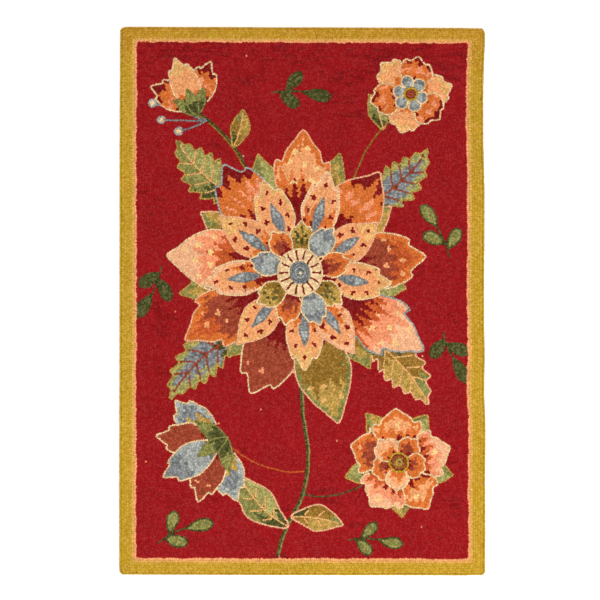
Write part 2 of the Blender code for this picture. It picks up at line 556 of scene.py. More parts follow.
@dataclass(frozen=True)
class Blade:
    """A petal or leaf on an axis that may bend.

    Attributes:
        base: Where its axis starts.
        heading: Where the axis points there, in degrees from +X.
        length: The length of the axis.
        width: The greatest width.
        silhouette: Its outline.
        shading: Its wools.
        outline: The wool of its outline, or None for the shading's own.
        bend: How many degrees the axis turns to the left on its way.
    """

    base: Point
    heading: float
    length: float
    width: float
    silhouette: Silhouette
    shading: Shading
    outline: Wool | None = Wool.CREAM
    bend: float = 0.0

    STRAIGHT = 1e-6
    STEPS = 5
    VEIN_POINTS = 9

    @property
    def curvature(self) -> float:
        """The axis's turn for each millimetre, in radians, never quite 0."""
        turn = math.radians(self.bend) / self.length
        return turn if abs(turn) > self.STRAIGHT else self.STRAIGHT

    def placed(self, along: Array, across: Array) -> Array:
        """Finds points beside the bent axis.

        Args:
            along: How far along the axis each is.
            across: How far to its left.

        Returns:
            The points, with x and y along the last axis.
        """
        along = np.asarray(along, float)
        across = np.asarray(across, float)
        start = math.radians(self.heading)
        turn = start + self.curvature * along
        x = self.base[0] + (np.sin(turn) - math.sin(start)) / self.curvature - across * np.sin(turn)
        y = self.base[1] - (np.cos(turn) - math.cos(start)) / self.curvature + across * np.cos(turn)
        return np.stack([x, y], axis=-1)

    def local(self, x: Array, y: Array) -> tuple[Array, Array]:
        """Finds where places lie beside the bent axis.

        Args:
            x: The x of each place.
            y: Its y.

        Returns:
            How far along the axis each is, and how far to its left.
        """
        start = math.radians(self.heading)
        radius = 1 / self.curvature
        side = math.copysign(1, radius)
        from_x = x - (self.base[0] - radius * math.sin(start))
        from_y = y - (self.base[1] + radius * math.cos(start))
        angle = np.arctan2(from_y, from_x) - (start - side * math.pi / 2)
        angle = (angle + math.pi) % (2 * math.pi) - math.pi
        return angle * radius, radius - side * np.hypot(from_x, from_y)

    def ring(self) -> Array:
        """Draws the outline.

        Returns:
            Its points, from the base up the left side and down the right.
        """
        left = np.array(self.silhouette.value)
        right = left[::-1]
        right = right[right[:, 1] > 0]
        along = np.concatenate([left[:, 0], right[:, 0]]) * self.length
        across = np.concatenate([left[:, 1], -right[:, 1]]) * self.width / 2
        return by_hand(smooth_line(self.placed(along, across), closed=True, steps=self.STEPS))

    def draw(self, chart: Chart, seed: int) -> int:
        """Draws the blade on a layer of its own.

        Args:
            chart: The chart.
            seed: The seed of its fingers and spots.

        Returns:
            The layer.
        """
        layer = chart.next_layer()
        ring = self.ring()

        def choose(x: Array, y: Array) -> Array:
            """Chooses the shading's wools.

            Args:
                x: The x of each place.
                y: Its y.

            Returns:
                The number of the wool at each place.
            """
            along, across = self.local(x, y)
            depth = np.full(len(x), np.inf)
            for edge_x, edge_y in ring:
                depth = np.minimum(depth, (x - edge_x) ** 2 + (y - edge_y) ** 2)
            return self.shading.numbers(along, across, np.sqrt(depth), (self.length, self.width), seed)

        chart.stamp(ring, choose, layer)
        if self.outline:
            chart.line(ring, self.outline, layer, closed=True)
        return layer

    def half_width(self, place: float) -> float:
        """Returns half the width at a place from base to tip, from 0 to 1."""
        places, shares = np.array(self.silhouette.value).T
        return float(np.interp(place, places, shares)) * self.width / 2

    def spot(self, place: float, side: float = 0.0) -> Point:
        """Returns the point at a place from base to tip, at a share of half the width to the left."""
        x, y = self.placed(np.array(place * self.length), np.array(side * self.half_width(place)))
        return float(x), float(y)

    def vein(self, chart: Chart, wool: Wool, layer: int, start: Point, end: Point) -> None:
        """Draws a vein inside the blade.

        Args:
            chart: The chart.
            wool: The vein's wool.
            layer: The blade's layer.
            start: The vein's start, as shares of the length and of half the width there.
            end: Its end.
        """
        share = np.linspace(0, 1, self.VEIN_POINTS)
        along = (start[0] + (end[0] - start[0]) * share) * self.length
        first = start[1] * self.half_width(start[0])
        last = end[1] * self.half_width(end[0])
        across = first + (last - first) * share
        chart.line(by_hand(self.placed(along, across)), wool, layer)


# -------- Hooking --------


NOWHERE = 1e6


def moved(shift: int, size: int) -> slice:
    """Returns the cells of a row of some size that are cells of it too before a shift."""
    return slice(max(shift, 0), size + min(shift, 0))


def distance_from(chart: Chart, seeds: Array) -> Array:
    """Measures how far the chart's cells are from places, by jump flooding.

    Args:
        chart: The chart.
        seeds: The places, one in each row.

    Returns:
        The distance from each cell to the nearest place.
    """
    grid_x, grid_y = np.meshgrid(chart.x, chart.y)
    near_x = np.full(grid_x.shape, NOWHERE)
    near_y = np.full(grid_x.shape, NOWHERE)
    row, column = chart.cells(seeds)
    near_x[row, column] = seeds[:, 0]
    near_y[row, column] = seeds[:, 1]
    best = (grid_x - near_x) ** 2 + (grid_y - near_y) ** 2
    doublings = (max(best.shape) - 1).bit_length()
    for jump in [1 << doubling for doubling in range(doublings - 1, -1, -1)] + [1]:
        for shifts in product((-jump, 0, jump), repeat=2):
            here, there = (
                tuple(moved(way * shift, size) for shift, size in zip(shifts, best.shape)) for way in (1, -1)
            )
            if any(part.start >= part.stop for part in here):
                continue
            x = near_x[there]
            y = near_y[there]
            found = (grid_x[here] - x) ** 2 + (grid_y[here] - y) ** 2
            closer = found < best[here]
            best[here] = np.where(closer, found, best[here])
            near_x[here] = np.where(closer, x, near_x[here])
            near_y[here] = np.where(closer, y, near_y[here])
    return np.sqrt(best)


def softened(values: Array, times: int) -> Array:
    """Smooths values over the chart.

    Args:
        values: A value for each cell.
        times: How often each is averaged with its neighbours.

    Returns:
        The smoothed values.
    """
    for _ in range(times):
        padded = np.pad(values, 1, mode="edge")
        values = (padded[:-2, 1:-1] + padded[2:, 1:-1] + 2 * padded[1:-1, 1:-1]) / 4
        padded = np.pad(values, 1, mode="edge")
        values = (padded[1:-1, :-2] + padded[1:-1, 2:] + 2 * padded[1:-1, 1:-1]) / 4
    return values


class Slope:
    """A height over the chart that can be read at any point, with its gradient."""

    def __init__(self, chart: Chart, height: Array) -> None:
        """Keeps a height and its gradient.

        Args:
            chart: The chart that the height covers.
            height: A value for each cell.
        """
        self.cell = chart.CELL
        self.low = (float(chart.x[0]), float(chart.y[0]))
        self.top = (len(chart.x) - 2, len(chart.y) - 2)
        down, right = np.gradient(height, self.cell)
        self.height = height.tolist()
        self.right = right.tolist()
        self.up = down.tolist()

    def at(self, x: float, y: float) -> tuple[float, float, float]:
        """Reads the height at a place.

        Args:
            x: The x of the place.
            y: Its y.

        Returns:
            The height, and its slope along x and along y.
        """
        across = (x - self.low[0]) / self.cell
        up = (y - self.low[1]) / self.cell
        column = min(max(int(across), 0), self.top[0])
        row = min(max(int(up), 0), self.top[1])
        s = across - column
        t = up - row
        first = self.height[row]
        second = self.height[row + 1]
        low = first[column] * (1 - s) + first[column + 1] * s
        high = second[column] * (1 - s) + second[column + 1] * s
        near_row = row + (t > 0.5)
        near_column = column + (s > 0.5)
        return low * (1 - t) + high * t, self.right[near_row][near_column], self.up[near_row][near_column]


class Hooking:
    """Places every loop of the rug, in millimetres.

    Each room says how near another loop may be, as a share of the pitch.
    """

    BIN = 4.0
    UNCHARTED = -1
    LINE_ROOM = 0.80
    FIRST_ROOM = 0.98
    ROW_ROOM = 0.93
    HOLE_ROOM = 0.90
    REST_ROOM = 0.95
    SOFTENINGS = 2
    GUIDED_GAPS = 1.5
    FREEING_GAPS = 4
    WANDERS = ((2.2, Mottle(11, 34)), (1.0, Mottle(12, 13)))
    LEAST_SLOPE = 0.2
    LEAST_SQUARE = 0.05
    CORRECTIONS = 3
    MOST_SHIFT = 1.5
    OFF_LEVEL = 0.3
    STEP_SHARES = (0.7, 1.35)
    START_CELLS = 0.5
    LINE_GIVES = 0.12
    TOUCHING = 1e-6
    EASE = 0.6
    PLUGGINGS = 2
    SETTLINGS = 3

    def __init__(self, chart: Chart) -> None:
        """Starts with no loops.

        Args:
            chart: The design to hook.
        """
        self.chart = chart
        self.x: list[float] = []
        self.y: list[float] = []
        self.turn: list[float] = []
        self.wool: list[int] = []
        self.thin: list[bool] = []
        self.held: list[bool] = []
        self.bins: dict[tuple[int, int], list[int]] = defaultdict(list)
        self.reached: list[Array] = []

    def is_free(self, x: float, y: float, reach: float, skip: int = -1) -> bool:
        """Tells whether a loop has room at a place.

        Args:
            x: The x of the place.
            y: Its y.
            reach: How near another loop may be, at most BIN.
            skip: The index of a loop that may be nearer.

        Returns:
            Whether no other loop is nearer.
        """
        column = int(x // self.BIN)
        row = int(y // self.BIN)
        for i in (column - 1, column, column + 1):
            for j in (row - 1, row, row + 1):
                for k in self.bins.get((i, j), ()):
                    if k != skip and (self.x[k] - x) ** 2 + (self.y[k] - y) ** 2 < reach * reach:
                        return False
        return True

    def hook(
        self, x: float, y: float, turn: float, wool: int, thin: bool = False, held: bool = False
    ) -> int:
        """Adds a loop.

        Args:
            x: The x of the place.
            y: Its y.
            turn: The direction of its row, in radians.
            wool: The number of its wool, or UNCHARTED for that of its spot.
            thin: Whether it is of a thinner yarn.
            held: Whether it keeps its place beside crowded neighbours.

        Returns:
            The loop's index.
        """
        index = len(self.x)
        self.x.append(x)
        self.y.append(y)
        self.turn.append(turn)
        self.wool.append(wool)
        self.thin.append(thin)
        self.held.append(held)
        self.bins[int(x // self.BIN), int(y // self.BIN)].append(index)
        return index

    def hook_strands(self) -> None:
        """Hooks every line of the chart, from the top layer down."""
        least = self.LINE_ROOM * GAUGE.line
        for strand in sorted(self.chart.strands, key=lambda strand: -strand.layer):
            pitch = GAUGE.line if strand.thin else GAUGE.pitch
            places, turns = spaced(strand.points, strand.closed, pitch)
            shown = self.chart.shown(places, strand.layer)
            number = strand.wool.number if strand.wool else self.UNCHARTED
            for (x, y), turn, seen in zip(places.tolist(), turns.tolist(), shown.tolist()):
                if seen and self.is_free(x, y, least):
                    self.hook(x, y, turn, number, strand.thin, held=True)
            fine, _ = spaced(strand.points, strand.closed, self.chart.CELL)
            self.reached.append(fine[self.chart.shown(fine, strand.layer)])

    def slope(self) -> Slope:
        """Makes the slope that rows follow.

        Returns:
            The distance from the hooked lines, with the small wander of a hand that has no line to follow.
        """
        distance = softened(distance_from(self.chart, np.vstack(self.reached)), self.SOFTENINGS)
        grid = np.meshgrid(self.chart.x, self.chart.y)
        free = np.clip((distance - self.GUIDED_GAPS * GAUGE.gap) / (self.FREEING_GAPS * GAUGE.gap), 0, 1)
        wander = sum(reach * mottle.at(*grid) for reach, mottle in self.WANDERS)
        return Slope(self.chart, distance + wander * free)

    def walk(self, slope: Slope, index: int, level: float, way: int) -> None:
        """Hooks a row along a level of the slope until it meets another loop.

        Args:
            slope: The slope.
            index: The loop that the row starts from.
            level: The level.
            way: 1 to keep the higher side on the left, -1 to keep it on the right.
        """
        least, most = self.STEP_SHARES
        x = self.x[index]
        y = self.y[index]
        while True:
            _, right, up = slope.at(x, y)
            steep = math.hypot(right, up)
            if steep < self.LEAST_SLOPE:
                return
            next_x = x - way * up / steep * GAUGE.pitch
            next_y = y + way * right / steep * GAUGE.pitch
            for _ in range(self.CORRECTIONS):
                height, right, up = slope.at(next_x, next_y)
                square = right * right + up * up
                if square < self.LEAST_SQUARE:
                    return
                shift = max(min((height - level) / square, self.MOST_SHIFT), -self.MOST_SHIFT)
                next_x -= right * shift
                next_y -= up * shift
            height, right, up = slope.at(next_x, next_y)
            step = math.hypot(next_x - x, next_y - y) / GAUGE.pitch
            if abs(height - level) > self.OFF_LEVEL * GAUGE.gap or not least < step < most:
                return
            if not self.is_free(next_x, next_y, self.ROW_ROOM * GAUGE.pitch, index):
                return
            turn = math.atan2(next_y - y, next_x - x)
            index = self.hook(next_x, next_y, turn, self.UNCHARTED)
            x, y = next_x, next_y

    def hook_rows(self, slope: Slope) -> None:
        """Fills the shapes and the field with rows that follow the lines at every level.

        Args:
            slope: The slope that the rows follow.
        """
        height = np.array(slope.height)
        level_of = np.round((height + GAUGE.tuck) / GAUGE.gap)
        levels = level_of * GAUGE.gap - GAUGE.tuck
        near = (np.abs(height - levels) < self.START_CELLS * self.chart.CELL) & (level_of >= 1)
        near &= self.chart.layer > 0
        rows, columns = np.nonzero(near)
        order = np.lexsort((columns, rows, level_of[rows, columns]))
        rows = rows[order]
        columns = columns[order]
        xs = self.chart.x[columns].tolist()
        ys = self.chart.y[rows].tolist()
        for x, y, level in zip(xs, ys, levels[rows, columns].tolist()):
            if not self.is_free(x, y, self.FIRST_ROOM * GAUGE.pitch):
                continue
            _, right, up = slope.at(x, y)
            index = self.hook(x, y, math.atan2(right, -up), self.UNCHARTED)
            for way in (1, -1):
                self.walk(slope, index, level, way)

    def plug(self, slope: Slope, hole: float) -> None:
        """Hooks a loop into each hole that is left between rows.

        Args:
            slope: The slope that the rows follow.
            hole: How far from every loop the middle of a hole is.
        """
        places = np.stack([self.x, self.y], axis=1)
        distance = distance_from(self.chart, places)
        rows, columns = np.nonzero((distance > hole) & (self.chart.layer > 0))
        order = np.argsort(-distance[rows, columns], kind="stable")
        for row, column in zip(rows[order], columns[order]):
            x = float(self.chart.x[column])
            y = float(self.chart.y[row])
            if self.is_free(x, y, hole):
                _, right, up = slope.at(x, y)
                self.hook(x, y, math.atan2(right, -up), self.UNCHARTED)

    def settle(self, times: int) -> None:
        """Lets crowded loops push each other apart, those of the lines less than the rest.

        Args:
            times: How often they do.
        """
        reach = self.REST_ROOM * GAUGE.pitch
        free = np.where(self.held, self.LINE_GIVES, 1.0)
        places = np.stack([self.x, self.y], axis=1)
        for _ in range(times):
            tree = KDTree(len(places))
            for index, (x, y) in enumerate(places.tolist()):
                tree.insert((x, y, 0), index)
            tree.balance()
            pairs = [
                (index, other)
                for index, (x, y) in enumerate(places.tolist())
                for _, other, _ in tree.find_range((x, y, 0), reach)
                if other > index
            ]
            a, b = np.array(pairs).T
            apart = places[b] - places[a]
            length = np.maximum(np.hypot(apart[:, 0], apart[:, 1]), self.TOUCHING)
            freer = np.maximum(free[a], free[b])
            push = apart / length[:, None] * (0.5 * freer * (reach - length))[:, None]
            share = free[a] / (free[a] + free[b])
            moves = np.zeros_like(places)
            np.add.at(moves, a, -push * share[:, None])
            np.add.at(moves, b, push * (1 - share)[:, None])
            places = places + self.EASE * moves
        self.x = places[:, 0].tolist()
        self.y = places[:, 1].tolist()
        self.bins.clear()
        for index, (x, y) in enumerate(places.tolist()):
            self.bins[int(x // self.BIN), int(y // self.BIN)].append(index)

    def colour(self) -> None:
        """Gives every loop that isn't part of a line the wool of its spot in the chart."""
        charted = self.chart.wool[self.chart.cells(np.stack([self.x, self.y], axis=1))]
        wools = np.array(self.wool)
        self.wool = np.where(wools == self.UNCHARTED, charted, wools).tolist()

    def work(self) -> None:
        """Hooks the whole rug."""
        self.hook_strands()
        slope = self.slope()
        self.hook_rows(slope)
        for _ in range(self.PLUGGINGS):
            self.plug(slope, self.HOLE_ROOM * GAUGE.pitch)
            self.settle(self.SETTLINGS)
        self.colour()
        LOG.info("hooked %d loops", len(self.x))


# -------- The border --------


FAR = 1e3


@dataclass(frozen=True)
class Edge:
    """One side of the rug's edge. It bows a little, as hand work does.

    Attributes:
        axis: The axis that it runs along, 0 for x and 1 for y.
        way: 1 where that is also the way round the rug, anticlockwise, or else -1.
        inward: The way in from it, 1 or -1 along the other axis.
        snug: How far in a row lies from it, as a share of the row's inset.
        rows: Rows of (place along the edge, how far out it lies there).
    """

    axis: int
    way: int
    inward: int
    snug: float
    rows: Array

    def at(self, place: Array | float, inset: float = 0.0) -> Array:
        """Returns where a row at an inset from the edge lies, at places along it."""
        return np.interp(place, self.rows[:, 0], self.rows[:, 1]) + self.inward * self.snug * inset


@dataclass(frozen=True)
class Rim:
    """The rug's edge, read from its solid.

    Attributes:
        edges: Its bottom, right, top and left edge.
    """

    edges: tuple[Edge, ...]

    SIDES = ((0, 1, 1, 1.0), (1, 1, -1, 1.03), (0, -1, -1, 0.90), (1, -1, 1, 1.0))
    WALL = (0.1, 0.62)
    CORNER = 7.0
    ROUND = 5.5
    SHARPEST = 1.2
    CUT = (0.41, 0.295)
    STEP = 3.0

    @classmethod
    def of(cls, solid: bpy.types.Object) -> "Rim":
        """Reads the rim of the rug's solid.

        Args:
            solid: The solid.

        Returns:
            The rim.
        """
        points = np.empty(len(solid.data.vertices) * 3)
        solid.data.vertices.foreach_get("co", points)
        points = points.reshape(-1, 3) / MM
        low, high = (share * points[:, 2].max() for share in cls.WALL)
        wall = points[(points[:, 2] > low) & (points[:, 2] < high)]
        half = np.abs(wall).max(axis=0)
        edges = []
        for axis, way, inward, snug in cls.SIDES:
            out = 1 - axis
            part = (np.abs(wall[:, axis]) < half[axis] - cls.CORNER) & (inward * wall[:, out] < 0)
            rows = wall[part][:, (axis, out)]
            edges.append(Edge(axis, way, inward, snug, rows[np.argsort(rows[:, 0])]))
        return cls(tuple(edges))

    def ring(self, inset: float, wander: Mottle | None = None, stray: float = 0.0) -> Array:
        """Draws the ring at an inset from the rug's edge.

        Args:
            inset: How far in from the edge the ring lies.
            wander: What makes the ring stray.
            stray: How far it strays at most.

        Returns:
            The ring's points, anticlockwise from the bottom left corner.
        """
        bend = max(self.ROUND - inset, self.SHARPEST)
        corners = []
        for before, edge in zip(self.edges[-1:] + self.edges[:-1], self.edges):
            corner = np.empty(2)
            corner[1 - before.axis] = before.at(before.way * FAR, inset)
            corner[1 - edge.axis] = edge.at(-edge.way * FAR, inset)
            corners.append(corner)
        ends = corners[1:] + corners[:1]
        rows = []
        for edge, start, end in zip(self.edges, corners, ends):
            first = start[edge.axis] + edge.way * bend
            place = np.arange(first, end[edge.axis] - edge.way * bend, edge.way * self.STEP)
            row = np.empty((len(place), 2))
            row[:, edge.axis] = place
            row[:, 1 - edge.axis] = edge.at(place, inset)
            if wander:
                row[:, 1 - edge.axis] += edge.inward * stray * wander.at(row[:, 0], row[:, 1])
            rows.append(row)
        out, along = self.CUT
        ring = []
        for row, following, corner in zip(rows, rows[1:] + rows[:1], ends):
            ring += [row, (out * corner + along * (row[-1] + following[0]))[None, :]]
        return np.vstack(ring)


@dataclass(frozen=True)
class Border:
    """The gold border, the pale line inside it and the field that they frame.

    Attributes:
        rim: The rug's edge.
        gold_rows: How many rows of gold there are.
        pale: The wools of the line's rows, from the outer one in.
        gap: From one of these rows to the next.
        stray: How far the line's inner edge strays.
    """

    rim: Rim
    gold_rows: int = 5
    pale: tuple[Wool, ...] = (Wool.SAND, Wool.PEACH)
    gap: float = 3.42
    stray: float = 0.9

    SPECK_SEED = 8
    SPECKS = 20
    SPECK_REACH = (225.0, 350.0)
    WANDER = Mottle(21, 8.0)
    GOLD_CLOUDS = Mottle(33, 30.0)
    GOLD_STRANDS = Mottle(34, 3.0)
    GOLD_SHARES = (0.8, 1.1)
    GOLD_DEEPER = (330.0, 55.0)
    GOLD_RANGE = (-1.1, 0.9)
    RED_CLOUDS = Mottle(31, 24.0)
    RED_STRANDS = Mottle(32, 4.0)
    RED_LENGTHS = (0.6, 0.3)
    RED_DEEPER = (250.0, 100.0)
    CLOUD_FADE = 0.7
    STRAND_SHARE = 0.8
    STRAND_GROWTH = 0.4
    TOP_SHARE = 0.6
    MOST_RED = 0.95

    def draw_field(self, chart: Chart) -> None:
        """Draws the field, as far as the rug's edge, with the few pale loops that strayed into it.

        Args:
            chart: The chart.
        """
        layer = chart.next_layer()
        chart.stamp(self.rim.ring(0.0), self.field_wools, layer)
        chance = np.random.default_rng(self.SPECK_SEED)
        for x, y in chance.uniform(-1, 1, (self.SPECKS, 2)) * self.SPECK_REACH:
            chart.line(np.array([(x, y), (x + 1, y + 1)]), Wool.SALMON, layer)

    def draw_frame(self, chart: Chart) -> None:
        """Draws the border and the pale line over whatever reaches under them.

        Args:
            chart: The chart.
        """
        edge = self.gold_rows * self.gap
        outer = self.rim.ring(0.0)
        middle = self.rim.ring(edge)
        inner = self.rim.ring(edge + len(self.pale) * self.gap, self.WANDER, self.stray)
        gold = chart.next_layer()
        chart.stamp(between(outer, middle), self.gold_wools, gold)
        for row in range(self.gold_rows):
            ring = self.rim.ring(GAUGE.edge + row * self.gap)
            chart.line(ring, None, gold, closed=True, thin=False)
        pale = chart.next_layer()
        chart.stamp(between(middle, inner), plain(self.pale[0]), pale)
        for row, wool in enumerate(self.pale):
            inset = GAUGE.edge + (self.gold_rows + row) * self.gap
            ring = self.rim.ring(inset, self.WANDER, self.stray * row / (len(self.pale) - 1))
            chart.line(ring, wool, pale, closed=True, thin=False)

    @classmethod
    def gold_wools(cls, x: Array, y: Array) -> Array:
        """Chooses the border's wools: gold, and a deeper one along the top.

        Args:
            x: The x of each place.
            y: Its y.

        Returns:
            The number of the wool at each place.
        """
        clouds, strands = cls.GOLD_SHARES
        patches = clouds * cls.GOLD_CLOUDS.at(x, y) + strands * cls.GOLD_STRANDS.at(x, y)
        start, over = cls.GOLD_DEEPER
        deeper = np.clip((y - start) / over, *cls.GOLD_RANGE)
        return np.where(patches + deeper > 0, Wool.AMBER.number, Wool.GOLD.number)

    @classmethod
    def field_wools(cls, x: Array, y: Array) -> Array:
        """Chooses the field's wools: one red, with short strands of a deeper one that grow more common
        towards the top, so that the field is darker towards the top.

        Args:
            x: The x of each place.
            y: Its y.

        Returns:
            The number of the wool at each place.
        """
        start, over = cls.RED_DEEPER
        top = np.clip((y - start) / over, 0.0, 1.0)
        cloud, strand = cls.RED_LENGTHS
        clouds = (1 - cls.CLOUD_FADE * top) * cls.RED_CLOUDS.at(x * cloud, y)
        strands = (cls.STRAND_SHARE + cls.STRAND_GROWTH * top) * cls.RED_STRANDS.at(x * strand, y)
        deep = clouds + strands + cls.TOP_SHARE * top > cls.MOST_RED
        return np.where(deep, Wool.WINE.number, Wool.RED.number)


def between(outer: Array, inner: Array) -> Array:
    """Returns the outline of what lies between two rings."""
    return np.vstack([outer, outer[:1], inner, inner[:1]])


def plain(wool: Wool) -> Chooser:
    """Returns a function that chooses one wool everywhere."""
    return lambda x, y: np.full(np.shape(x), wool.number)


# -------- The flowers --------


SPOTS = Sprinkle(Wool.BUTTER, gap=22.0, radius=4.0, start=0.45, end=0.90)
FAINT = Sprinkle(Wool.STRAW, gap=24.0, radius=3.6, start=0.62, end=0.92)

FLAME = Shading(
    ((0.38, Wool.GARNET), (0.52, Wool.ORANGE), (1.0, Wool.APRICOT)),
    flame=0.26, hem=Wool.ORANGE, hem_width=12.0, hem_start=0.45, sprinkles=(SPOTS,),
)
BLUSH = Shading(
    ((0.36, Wool.GARNET), (0.50, Wool.EMBER), (0.70, Wool.SALMON), (1.0, Wool.SHELL)),
    flame=0.26, cup=0.10, sprinkles=(SPOTS,),
)
SUNSET = Shading(
    ((0.26, Wool.GARNET), (0.50, Wool.ORANGE), (1.0, Wool.APRICOT)),
    flame=0.26, cup=0.10, hem=Wool.SHELL, hem_width=5.0,
)
PALE = Shading(((0.16, Wool.ORANGE), (1.0, Wool.APRICOT)), flame=0.18, hem=Wool.STRAW, hem_width=5.0)
COPPER = Shading(
    ((0.32, Wool.GARNET), (0.66, Wool.RUST), (1.0, Wool.EMBER)),
    flame=0.24, cup=0.08, hem=Wool.ORANGE, hem_width=8.0,
    sprinkles=(Sprinkle(Wool.APRICOT, gap=22.0, radius=3.8, start=0.5, end=0.9),),
)
RUSSET = Shading(
    ((0.30, Wool.GARNET), (1.0, Wool.RUST)), flame=0.30,
    sprinkles=(Sprinkle(Wool.SALMON, gap=22.0, radius=3.6, start=0.66, end=0.92),),
)
GLOWING = Shading(
    ((0.36, Wool.GARNET), (0.56, Wool.ORANGE), (0.63, Wool.SALMON), (0.80, Wool.ORANGE), (1.0, Wool.GARNET)),
    flame=0.24, cup=0.14,
)
TURNING = Shading(
    ((0.24, Wool.GARNET), (0.66, Wool.BRONZE), (1.0, Wool.MOSS)),
    flame=0.22, hem=Wool.SAGE, hem_width=6.0, sprinkles=(FAINT,),
)
HONEY = Shading(
    ((0.20, Wool.RUST), (0.36, Wool.ORANGE), (0.72, Wool.APRICOT), (1.0, Wool.STRAW)), flame=0.20
)
SKY = Shading(((0.30, Wool.SLATE), (0.62, Wool.MIST), (1.0, Wool.SLATE)), flame=0.16)
DUSK = Shading(
    ((0.24, Wool.PINE), (0.56, Wool.MOSS), (1.0, Wool.SLATE)),
    flame=0.24, cup=0.14, hem=Wool.MIST, hem_width=6.0,
)
HEART = Shading(((0.55, Wool.SLATE), (1.0, Wool.MIST)), flame=0.12)
POD = Shading(
    ((0.50, Wool.BRONZE), (1.0, Wool.MOSS)), flame=0.30,
    sprinkles=(Sprinkle(Wool.PINE, gap=9.0, radius=1.6, longer=2.4, start=0.20, end=0.90),),
)
GREEN = Shading(
    ((0.34, Wool.PINE), (1.0, Wool.SAGE)), flame=0.22, second=((0.20, Wool.PINE), (1.0, Wool.FERN))
)
AUTUMN = Shading(
    ((0.30, Wool.PINE), (0.70, Wool.BRONZE), (1.0, Wool.SAGE)),
    flame=0.20, second=((0.30, Wool.BRONZE), (1.0, Wool.MOSS)),
)
DEW = Shading(((0.16, Wool.PINE), (1.0, Wool.SLATE)), flame=0.18, hem=Wool.FERN, hem_width=8.0)
SHADE = Shading(((0.50, Wool.PINE), (1.0, Wool.SAGE)), flame=0.20)
SPRIG = Shading(((1.0, Wool.SAGE),))
DARK = Shading(((1.0, Wool.PINE),))


@dataclass(frozen=True)
class Disc:
    """A round or oval spot, hooked in rings.

    Attributes:
        centre: Its middle.
        radius: Its radius across.
        wool: Its wool.
        outline: The wool of its outline.
        rings: Rows of (radius, wool) for rings inside it.
        rays: How many dark rays it has.
        ray: Where they start and end, as distances from the middle.
        stretch: How much taller than wide it is.
    """

    centre: Point
    radius: float
    wool: Wool
    outline: Wool | None = None
    rings: Bands = ()
    rays: int = 0
    ray: Point = (16.0, 26.0)
    stretch: float = 1.0

    POINTS = 48
    RAY_POINTS = 5

    def circle(self, radius: float) -> Array:
        """Draws a circle or oval about the middle.

        Args:
            radius: Its radius across.

        Returns:
            Its points.
        """
        angles = np.linspace(0, 2 * math.pi, self.POINTS, endpoint=False)
        x = self.centre[0] + radius * np.cos(angles)
        y = self.centre[1] + radius * self.stretch * np.sin(angles)
        return by_hand(np.stack([x, y], axis=1))

    def draw(self, chart: Chart) -> None:
        """Draws the disc.

        Args:
            chart: The chart.
        """
        layer = chart.next_layer()
        chart.stamp(self.circle(self.radius + GAUGE.gap / 2), plain(self.wool), layer)
        if self.outline:
            chart.line(self.circle(self.radius), self.outline, layer, closed=True)
        for radius, wool in self.rings:
            chart.line(self.circle(radius), wool, layer, closed=True)
        for angle in np.linspace(0, 2 * math.pi, self.rays, endpoint=False):
            way = (math.cos(angle), self.stretch * math.sin(angle))
            course = np.array(self.centre) + np.outer(np.linspace(*self.ray, self.RAY_POINTS), way)
            chart.line(by_hand(course), Wool.GARNET, layer)


@dataclass(frozen=True)
class Stem:
    """A stem or twig.

    Attributes:
        points: Where it goes.
        wools: The wools of its rows, from its left to its right.
    """

    points: tuple[Point, ...]
    wools: tuple[Wool, ...] = (Wool.PINE,)

    def draw(self, chart: Chart) -> None:
        """Draws the stem.

        Args:
            chart: The chart.
        """
        layer = chart.next_layer()
        course = by_hand(smooth_line(np.array(self.points, float), closed=False))
        half = len(self.wools) * GAUGE.gap / 2
        sides = [beside(course, False, half), beside(course, False, -half)[::-1]]
        chart.stamp(np.vstack(sides), plain(self.wools[0]), layer)
        for index, wool in enumerate(self.wools):
            shift = (len(self.wools) - 1) / 2 - index
            chart.line(beside(course, False, shift * GAUGE.gap), wool, layer)


@dataclass(frozen=True)
class Leaf:
    """A leaf with its midrib and side veins.

    Attributes:
        blade: Its shape.
        rib: The wool of its veins.
        pairs: How many pairs of side veins it has.
    """

    blade: Blade
    rib: Wool = Wool.CREAM
    pairs: int = 3

    RIB_END = 0.90
    VEIN_ENDS = (0.30, 0.58)
    VEIN_RISE = 0.11
    VEIN_REACH = 0.62

    def draw(self, chart: Chart, seed: int) -> None:
        """Draws the leaf.

        Args:
            chart: The chart.
            seed: The seed of its random draws.
        """
        layer = self.blade.draw(chart, seed)
        self.blade.vein(chart, self.rib, layer, (0.0, 0.0), (self.RIB_END, 0.0))
        first, spread = self.VEIN_ENDS
        for pair in range(self.pairs):
            end = first + spread * pair / self.pairs
            for side in (-1, 1):
                tip = (end, self.VEIN_REACH * side)
                self.blade.vein(chart, self.rib, layer, (end - self.VEIN_RISE, 0.0), tip)


